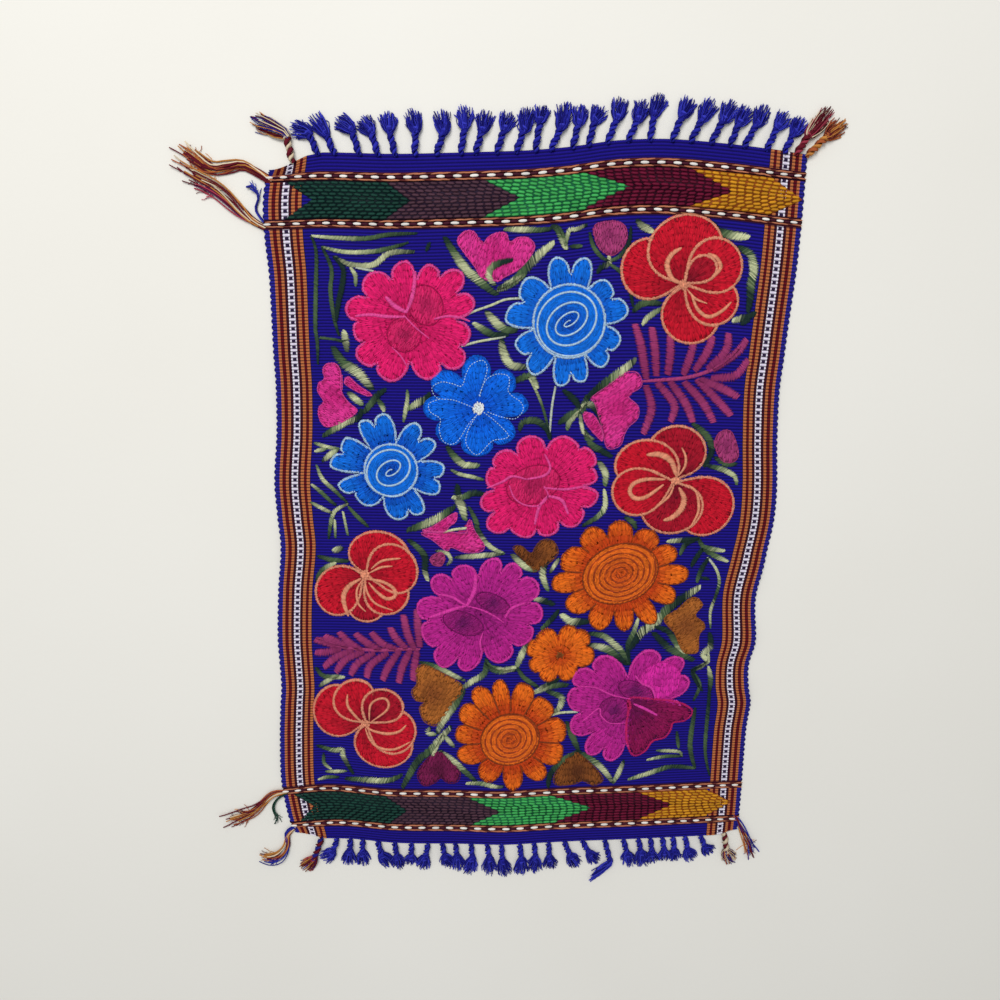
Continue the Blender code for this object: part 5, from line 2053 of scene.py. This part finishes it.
STROKES_LEFT = strokes(
    (5, "gcp", (-125, 95), (-120, 90), (-116, 86)),
    (5, "gpgg", (-115, 81), (-109, 88), (-104, 94), (-99, 97)),
    (4, "gpc", (-105, 91), (-102, 86), (-101, 82)),
    (3, "pcp", (-84, 97), (-84, 91), (-85, 85), (-87, 75)),
    (5, "ggcp", (-68, 95), (-71, 91), (-77, 88), (-84, 84)),
    (5, "gpcgg", (-144, 64), (-139, 67), (-129, 73), (-119, 77), (-116, 83)),
    (3, "pcp", (-150, 59), (-141, 56), (-134, 55)),
    (3, "cp", (-150, 53), (-141, 55)),
    (4, "gcp", (-145, 46), (-140, 50), (-133, 55)),
    (3, "pcpg", (-149, 43), (-145, 33), (-137, 25), (-128, 16)),
    (3, "cppg", (-153, 29), (-146, 23), (-140, 17), (-136, 14)),
    (3, "pcg", (-154, 16), (-147, 12), (-139, 8)),
    (3, "ppg", (-127, 13), (-121, 6), (-113, -2)),
    (3, "gcpg", (-127, 15), (-135, 11), (-139, 5), (-142, -11)),
    (2, "cp", (-137, 3), (-137, -10)),
    (2, "cp", (-131, 9), (-128, -8)),
    (5, "cg", (-139, -19), (-132, -19)),
    (4, "gpg", (-150, -24), (-140, -27), (-128, -28)),
    (4, "gpc", (-152, -43), (-147, -35), (-137, -29)),
    (5, "gpggc", (-84, -11), (-77, -17), (-72, -24), (-72, -34), (-70, -42)),
)
STROKES_CENTRE = strokes(
    (5, "gpcp", (-56, 58), (-51, 51), (-44, 45), (-33, 44)),
    (3, "pcp", (-53, 41), (-47, 38), (-38, 36), (-30, 34)),
    (5, "cpgg", (-52, 21), (-45, 21), (-37, 24), (-28, 23)),
    (6, "ggcp", (-48, 30), (-48, 22), (-45, 13), (-43, 4)),
    (4, "gpgcp", (-40, 14), (-35, 4), (-33, -4), (-25, -15), (-14, -21)),
    (6, "gpcpg", (-50, 14), (-61, 6), (-71, 1), (-85, -4)),
    (4, "gcg", (-50, -24), (-35, -23), (-15, -21)),
    (3, "gcg", (-64, -19), (-56, -21), (-53, -26), (-56, -30)),
    (2, "cc", (-58, -5), (-50, -3), (-42, -2)),
    (5, "gcp", (53, 49), (58, 40), (58, 31)),
    (4, "ccpg", (58, 28), (59, 16), (54, 8), (43, 1)),
    (5, "gpgg", (42, 71), (47, 61), (55, 56), (62, 52)),
    (4, "gpg", (74, 8), (80, 4), (82, -1)),
)
STROKES_RIGHT = strokes(
    (5, "gpgg", (119, 77), (130, 68), (134, 57), (129, 46)),
    (4, "gpcp", (131, 47), (143, 44), (152, 39), (154, 33)),
    (4, "gpg", (137, 53), (145, 48), (153, 48)),
    (4, "cgg", (106, -10), (118, -9), (128, -8)),
    (4, "pgg", (116, -20), (120, -12), (129, -8)),
    (4, "gpc", (129, -7), (134, -14), (149, -17)),
    (4, "gpc", (132, -15), (143, -21), (152, -25)),
    (4, "ggg", (133, -15), (128, -23), (125, -29)),
    (4, "ggp", (138, -22), (133, -31), (130, -41)),
    (2.5, "wcpgcp", (137, -22), (144, -31), (147, -41), (145, -52), (142, -64), (143, -77)),
    (3, "gg", (133, -37), (139, -39)),
    (5, "ggcc", (143, -81), (144, -92), (139, -98), (143, -104)),
    (4, "cggg", (144, -104), (138, -108), (132, -112), (136, -121), (140, -128)),
    (4, "cpg", (144, -108), (146, -118), (146, -128)),
)
STROKES_LOW = strokes(
    (5, "gcp", (-8, -21), (1, -30), (10, -34)),
    (5, "ggcp", (23, -21), (17, -27), (15, -37), (19, -49)),
    (3, "gcg", (27, -24), (20, -35)),
    (5, "cgg", (9, -55), (17, -57), (24, -60)),
    (4, "pgg", (15, -79), (23, -71), (28, -64)),
    (6, "ccgg", (30, -67), (38, -73), (51, -73)),
    (5, "gcp", (5, -91), (0, -102), (-3, -110)),
    (4, "gpg", (-2, -110), (3, -118), (14, -126)),
    (4, "ggc", (30, -119), (21, -124), (10, -131)),
    (5, "gpc", (-26, -107), (-17, -113), (-3, -110)),
    (4, "gpcg", (-76, -106), (-63, -110), (-50, -117), (-42, -121)),
    (5, "gpcg", (-26, -106), (-27, -115), (-37, -122), (-45, -128)),
    (3, "gcg", (-61, -122), (-53, -124), (-44, -124)),
    (4, "gpc", (-154, -111), (-148, -118), (-133, -119)),
    (4, "gcp", (-152, -126), (-143, -120), (-137, -118)),
    (5, "gpcpg", (51, -82), (62, -84), (69, -89), (77, -97), (82, -107)),
    (6, "gcpgg", (52, -91), (64, -94), (73, -100), (82, -107)),
    (4, "ggpc", (83, -106), (81, -92), (85, -81), (88, -70)),
    (7, "ggcpggc", (83, -94), (91, -81), (101, -73), (110, -62), (120, -54), (133, -45)),
    (6, "ggpg", (100, -81), (111, -92), (121, -98), (132, -103)),
    (5, "ggpc", (101, -76), (111, -80), (118, -90), (124, -98)),
)
STROKES_BOTTOM = strokes(
    (6, "gpcg", (-42, -128), (-48, -139), (-57, -152), (-63, -164)),
    (6, "gcpgpg", (-52, -159), (-60, -169), (-68, -179), (-77, -187), (-84, -199), (-90, -211)),
    (3, "gcp", (-59, -166), (-63, -176), (-67, -186), (-67, -192)),
    (5, "gcpg", (-61, -179), (-52, -186), (-43, -195), (-33, -205)),
    (4, "cpcg", (-40, -207), (-29, -207), (-17, -210), (-11, -210)),
    (4, "gcp", (-68, -160), (-70, -164), (-64, -166)),
    (4, "pcg", (-57, -166), (-53, -172), (-50, -176)),
    (4, "gpcgg", (-155, -175), (-143, -179), (-136, -179), (-135, -185), (-128, -199)),
    (3, "pcp", (-149, -197), (-140, -197), (-133, -197)),
    (3, "cpg", (-155, -204), (-148, -202), (-139, -202)),
    (5, "gpcpg", (-134, -203), (-121, -204), (-107, -205), (-98, -204), (-90, -200)),
    (3, "gpc", (-150, -182), (-150, -190), (-145, -195)),
    (4, "gpcg", (-26, -103), (-23, -109), (-13, -112), (-3, -112)),
    (5, "cpg", (12, -130), (24, -125), (37, -124)),
    (5, "gpcg", (21, -129), (32, -134), (31, -142), (26, -148)),
    (2, "wcw", (20, -151), (31, -147), (45, -146)),
    (5, "gpg", (37, -154), (42, -167), (47, -179)),
    (5, "gpgg", (47, -179), (35, -187), (26, -198), (24, -210)),
    (3, "cc", (45, -182), (46, -192), (41, -200)),
    (5, "gpcg", (47, -179), (59, -187), (68, -196), (75, -206)),
    (4, "gcp", (83, -187), (79, -198), (75, -206)),
    (4, "pcpgp", (87, -203), (102, -198), (120, -192), (139, -193)),
    (4, "gpg", (139, -193), (134, -173), (136, -142)),
    (3, "gpgg", (151, -199), (146, -176), (146, -134), (145, -108)),
    (3, "cpg", (101, -186), (116, -183), (128, -183)),
    (3, "pcp", (108, -178), (125, -179), (128, -183)),
    (3, "gp", (123, -162), (125, -176)),
    (3, "gpg", (131, -111), (138, -123), (134, -136)),
    (3, "cgg", (143, -97), (142, -105), (131, -111)),
)
STROKES_OVER = strokes(
    (6, "gcpgg", (-24, 169), (-28, 175), (-26, 181), (-20, 184), (-12, 186)),
)
LEAVES = {"leaves_top": STROKES_TOP, "leaves_left": STROKES_LEFT + STROKES_CENTRE,
          "leaves_right": STROKES_RIGHT + STROKES_LOW, "leaves_bottom": STROKES_BOTTOM}


@dataclass
class Garden:
    """All the embroidery of the field.

    Args of its work methods are a row of their table and the seed of its unevenness.
    """

    weave: WeaveMap
    loom: Loom
    material: bpy.types.Material
    leaf_fullness: float = 1.25
    stem_width: float = 2.0
    ring_colour: Colour = (168, 66, 30)
    pieces: List[bpy.types.Object] = field(default_factory=list)

    def keep(self, hoop: Hoop, name: str) -> None:
        """Make what a hoop holds as one piece and keep it."""
        self.pieces.append(hoop.basket.make(name, self.loom, self.material, sides=3))

    def work_strokes(self, name: str, leaves: Sequence[Stroke], seed: int) -> None:
        """Work a region's leaves and stems.

        Args:
            name: Name of the piece.
            leaves: Its leaves.
            seed: Seed of their unevenness.
        """
        hoop = Hoop(self.weave, seed)
        for leaf in leaves:
            tip = 0.45 if leaf.width > self.stem_width else 0.8
            hoop.line(leaf.bends, leaf.width * self.leaf_fullness, leaf.colours, tip)
        self.keep(hoop, name)

    def work_rose(self, rose: Rose, seed: int) -> None:
        """Work a rose: its petals, bowls, folded petal and seams."""
        hoop, hub = Hoop(self.weave, seed), (rose.x, rose.y)
        lobes = [(angle, tip, notch * 0.95) for angle, tip, notch in rose.lobes]
        hoop.fill(Patch(lobed(hub, lobes), rose.tone, hub, rise=1.0, edge=2.6))
        for bowl in rose.bowls:
            loop = oval(*moved(hub, [(bowl.x, bowl.y)]), bowl.wide, bowl.high, bowl.turn)
            hoop.fill(Patch(loop, bowl.tone, lie=Lie.SLANT, slant=60 + bowl.turn, rise=1.1, edge=1.1))
        if rose.fold:
            hoop.fill(Patch(closed(moved(hub, rose.fold)), FOLD_PURPLE, hub, rise=1.3, edge=2.4))
        hoop.lines(hub, rose.lines, rose.tone.edge, 0.5, 66)
        self.keep(hoop, rose.name)

    def work_bloom(self, bloom: Bloom, seed: int) -> None:
        """Work a flower with a spiral disc, and the seams from its disc to its notches."""
        hoop, hub = Hoop(self.weave, seed), (bloom.x, bloom.y)
        blue = bloom.tone is PETAL_BLUE
        keep, edge, foot = (0.97, 2.2, 0.35) if blue else (0.92, 1.5, 0.48)
        lobes = [(angle, tip, notch * keep) for angle, tip, notch in bloom.lobes]
        hoop.fill(Patch(lobed(hub, lobes), bloom.tone, hub, rise=0.9, edge=edge, foot=foot))
        wide, high, turn = bloom.disc
        disc, turns = (bloom.tone, None) if blue else (ORANGE_DISC, (bloom.pitch, self.ring_colour))
        hoop.fill(Patch(oval(hub, wide, high, turn), disc, hub, Lie.RINGS, rise=1.2, turns=turns,
                        edge=edge, squash=high / wide, turn=turn))
        if blue:
            self._spiral(hoop, hub, bloom)
        for (angle, tip, notch), after in zip(lobes, lobes[1:] + lobes[:1]):
            if not blue or notch < 0.7 * tip:
                heading = math.radians(angle + between(angle, after[0]) / 2)
                seam = [(r * math.cos(heading), r * math.sin(heading)) for r in (wide, notch)]
                hoop.line(moved(hub, seam), 1.8, [bloom.tone.edge], 0.7, 78)
        self.keep(hoop, bloom.name)

    @staticmethod
    def _spiral(hoop: Hoop, hub: Point, bloom: Bloom) -> None:
        """Work the pale spiral of a blue flower's disc."""
        wide, high, _ = bloom.disc
        turns = wide / bloom.pitch
        angle = np.linspace(0.6, turns * 2 * math.pi, 60)
        share = angle / (turns * 2 * math.pi)
        long, short = wide * share ** 0.85, high * share ** 1.35
        u, v = long * np.cos(angle), short * np.sin(angle)
        path = np.c_[hub[0] + 0.77 * u - 0.64 * v, hub[1] + 0.64 * u + 0.77 * v]
        hoop.line([tuple(place) for place in path], 1.8, [bloom.tone.edge], 0.6, 78)

    def work_small(self, seed: int) -> None:
        """Work the small orange flower and the four-petalled blue one."""
        hoop, hub = Hoop(self.weave, seed), (29.7, -99.6)
        hoop.fill(Patch(lobed(hub, SMALL_LOBES), ORANGE, hub, rise=0.8, edge=1.6))
        hoop.fill(Patch(oval(hub, 3.2, 3.2), BROWN, lie=Lie.SLANT, rise=1.1, length=3, edge=0))
        self.keep(hoop, "small_orange")
        hoop, hub = Hoop(self.weave, seed + 1), (-34.0, 85.0)
        hoop.fill(Patch(lobed(hub, CLOVER_LOBES), CLOVER_BLUE, hub, rise=0.9, edge=1.6))
        for bends in CLOVER_RUNS:
            hoop.run(moved(hub, bends), CLOVER_DOTS)
        hoop.fill(Patch(oval(hub, 4.3, 4.8), CLOVER_WHITE, lie=Lie.SLANT, rise=1.3, length=3, edge=0))
        self.keep(hoop, "clover_blue")

    def work_poppy(self, poppy: Poppy, seed: int) -> None:
        """Work a poppy, petal by petal, then its lines and its middle."""
        hoop, hub = Hoop(self.weave, seed), (poppy.x, poppy.y)
        for petal in poppy.petals:
            tone = POPPY_WINE if petal.dark else POPPY_RED
            hoop.fill(Patch(petal_loop(hub, petal), tone, hub, rise=0.95, edge=2.6))
        hoop.lines(hub, poppy.lines, SALMON, 0.3, 65)
        middle = Tone(SALMON, SALMON, SALMON)
        hoop.fill(Patch(oval(hub, 3.6, 3.4), middle, lie=Lie.SLANT, rise=1.3, length=3, edge=0))
        self.keep(hoop, poppy.name)

    def work_shapes(self, seed: int) -> None:
        """Work the buds, tulips and hearts, and the leaf that crosses one."""
        hoop = Hoop(self.weave, seed)
        for shape in SHAPES:
            hoop.fill(Patch(closed(shape.outline), shape.tone, lie=Lie.SLANT, slant=shape.slant, rise=0.7,
                            slope=4.0, edge=1.2))
        for leaf in STROKES_OVER:
            hoop.line(leaf.bends, leaf.width, leaf.colours, 0.45)
        self.keep(hoop, "buds_and_hearts")

    def work_fern(self, fern: Fern, seed: int) -> None:
        """Work a fern: its fronds, then its spine."""
        hoop = Hoop(self.weave, seed)
        for bends in fern.fronds:
            hoop.line(bends, 7.4, [MAUVE.light, MAUVE.deep], 0.72, 78)
        hoop.line(fern.spine, 3.4, [MAUVE.light], 0.6, 60)
        self.keep(hoop, fern.name)

    def work(self) -> List[bpy.types.Object]:
        """Work everything, leaves first, and return all the pieces."""
        for seed, (name, leaves) in enumerate(LEAVES.items(), 61):
            self.work_strokes(name, leaves, seed)
        for seed, rose in enumerate(ROSES, 71):
            self.work_rose(rose, seed)
        for seed, bloom in enumerate(BLOOMS, 81):
            self.work_bloom(bloom, seed)
        self.work_small(86)
        for seed, poppy in enumerate(POPPIES, 91):
            self.work_poppy(poppy, seed)
        for seed, fern in enumerate(FERNS, 96):
            self.work_fern(fern, seed)
        self.work_shapes(99)
        return self.pieces


@dataclass(frozen=True)
class Studio:
    """The floor, the light and the camera."""

    camera_place: Tuple[float, float, float] = (-0.03123, 0.12509, 0.53567)
    camera_turn: Tuple[float, float, float] = (-11.234, -1.260, 1.015)
    lens: float = 27.04
    sensor: float = 36.0
    near_clip: float = 0.01
    floor_size: float = 3.0
    sky: Colour = (0.86, 0.89, 0.93)
    sky_strength: float = 0.6
    lamp_place: Tuple[float, float, float] = (-0.35, 0.85, 1.5)
    lamp_power: float = 21.0
    lamp_size: float = 0.9

    def set_up(self, finish: FloorFinish) -> None:
        """Add everything that isn't the mat.

        Args:
            finish: The floor's finish.
        """
        bpy.ops.mesh.primitive_plane_add(size=self.floor_size)
        floor = bpy.context.object
        floor.name = "floor"
        floor.data.materials.append(finish.make())
        camera = bpy.data.objects.new("camera", bpy.data.cameras.new("camera"))
        bpy.context.collection.objects.link(camera)
        camera.location = self.camera_place
        camera.rotation_euler = [math.radians(angle) for angle in self.camera_turn]
        camera.data.lens = self.lens
        camera.data.sensor_width = self.sensor
        camera.data.clip_start = self.near_clip
        bpy.context.scene.camera = camera
        lamp = bpy.data.objects.new("window_light", bpy.data.lights.new("window_light", "AREA"))
        bpy.context.collection.objects.link(lamp)
        lamp.location = self.lamp_place
        aim = -np.array(self.lamp_place)
        lamp.rotation_euler = (math.atan2(math.hypot(aim[0], aim[1]), -aim[2]), 0.0,
                               math.atan2(aim[1], aim[0]) - math.pi / 2)
        lamp.data.energy = self.lamp_power
        lamp.data.size = self.lamp_size
        world = bpy.data.worlds.new("room")
        world.use_nodes = True
        background = world.node_tree.nodes["Background"]
        background.inputs["Color"].default_value = (*self.sky, 1.0)
        background.inputs["Strength"].default_value = self.sky_strength
        bpy.context.scene.world = world
        bpy.context.scene.view_settings.view_transform = "Standard"


class Mat:
    """The whole mat."""

    def __init__(self) -> None:
        """Make the looms and the materials."""
        self.weave = WeaveMap()
        self.stitches = stitch_loom()
        self.yarns = yarn_loom()
        self.ground = GroundFinish("blue_ground", self.weave).make()
        self.silk = ThreadFinish("embroidery_thread").make()
        self.wool = ThreadFinish("fringe_yarn", 0.85, 3200.0, 0.4).make()

    def make_cloth(self) -> List[bpy.types.Object]:
        """Make the woven sheet and all that is worked into it.

        Returns:
            Every piece that replaces the cloth, with the sheet first.
        """
        weave = self.weave
        pieces = [ClothSheet(weave).make("woven_ground", self.ground)]
        for name, end, arrows, seed in (("band_top", 1, TOP_ARROWS, 21),
                                        ("band_bottom", -1, BOTTOM_ARROWS, 22)):
            basket = StitchBasket(seed)
            BrocadeBand(weave, end, arrows).lay(basket)
            pieces.append(basket.make(name, self.stitches, self.silk))
        basket = StitchBasket(23)
        for along in (weave.outer_line, weave.inner_line, -weave.inner_line, -weave.outer_line):
            TwinedLine(weave, along).lay(basket)
        pieces.append(basket.make("twined_lines", self.stitches, self.silk, sides=6, rings=5))
        return pieces + Garden(weave, self.stitches, self.silk).work()

    def make(self) -> None:
        cloth = self.make_cloth()
        for piece in cloth:
            self.declare(piece, "cloth", "woven_cotton")
        top = Fringe(self.weave, 1, TOP_TASSELS, TOP_STRETCH, TOP_BORDER_ENDS)
        near = Fringe(self.weave, -1, BOTTOM_TASSELS, BOTTOM_STRETCH, BOTTOM_BORDER_ENDS)
        self.make_yarns(top, "fringe_top", "fringe_cotton", 31, 3)
        self.make_yarns(near, "fringe_bottom", "fringe_cotton", 32, 3)
        for seed, tuft in enumerate(TUFTS, 41):
            self.make_yarns(YarnTuft(self.weave, tuft), tuft.node, "yarn_ends", seed, 5)

    def make_yarns(self, part: Union[Fringe, YarnTuft], node: str, slot: str, seed: int,
                   sides: int) -> None:
        """Make and declare a fringe or a tuft.

        Args:
            part: The fringe or the tuft.
            node: The solid that it replaces.
            slot: Its material slot.
            seed: Seed of its unevenness.
            sides: Sides of each yarn.
        """
        basket = YarnBasket(seed)
        part.lay(basket)
        self.declare(basket.make(node + "_yarns", self.yarns, self.wool, sides), node, slot)

    @staticmethod
    def declare(piece: bpy.types.Object, node: str, slot: str) -> None:
        """Tell the frame what a piece is.

        Args:
            piece: The piece.
            node: The solid that it replaces.
            slot: Not used.
        """
        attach(piece, "root")
        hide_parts(node)


def main() -> None:
    """Make the mat, the floor, the light and the camera."""
    logging.basicConfig(level=logging.INFO, format="%(name)s: %(message)s")
    Mat().make()
    Studio().set_up(FloorFinish())


if __name__ == "__main__":
    main()
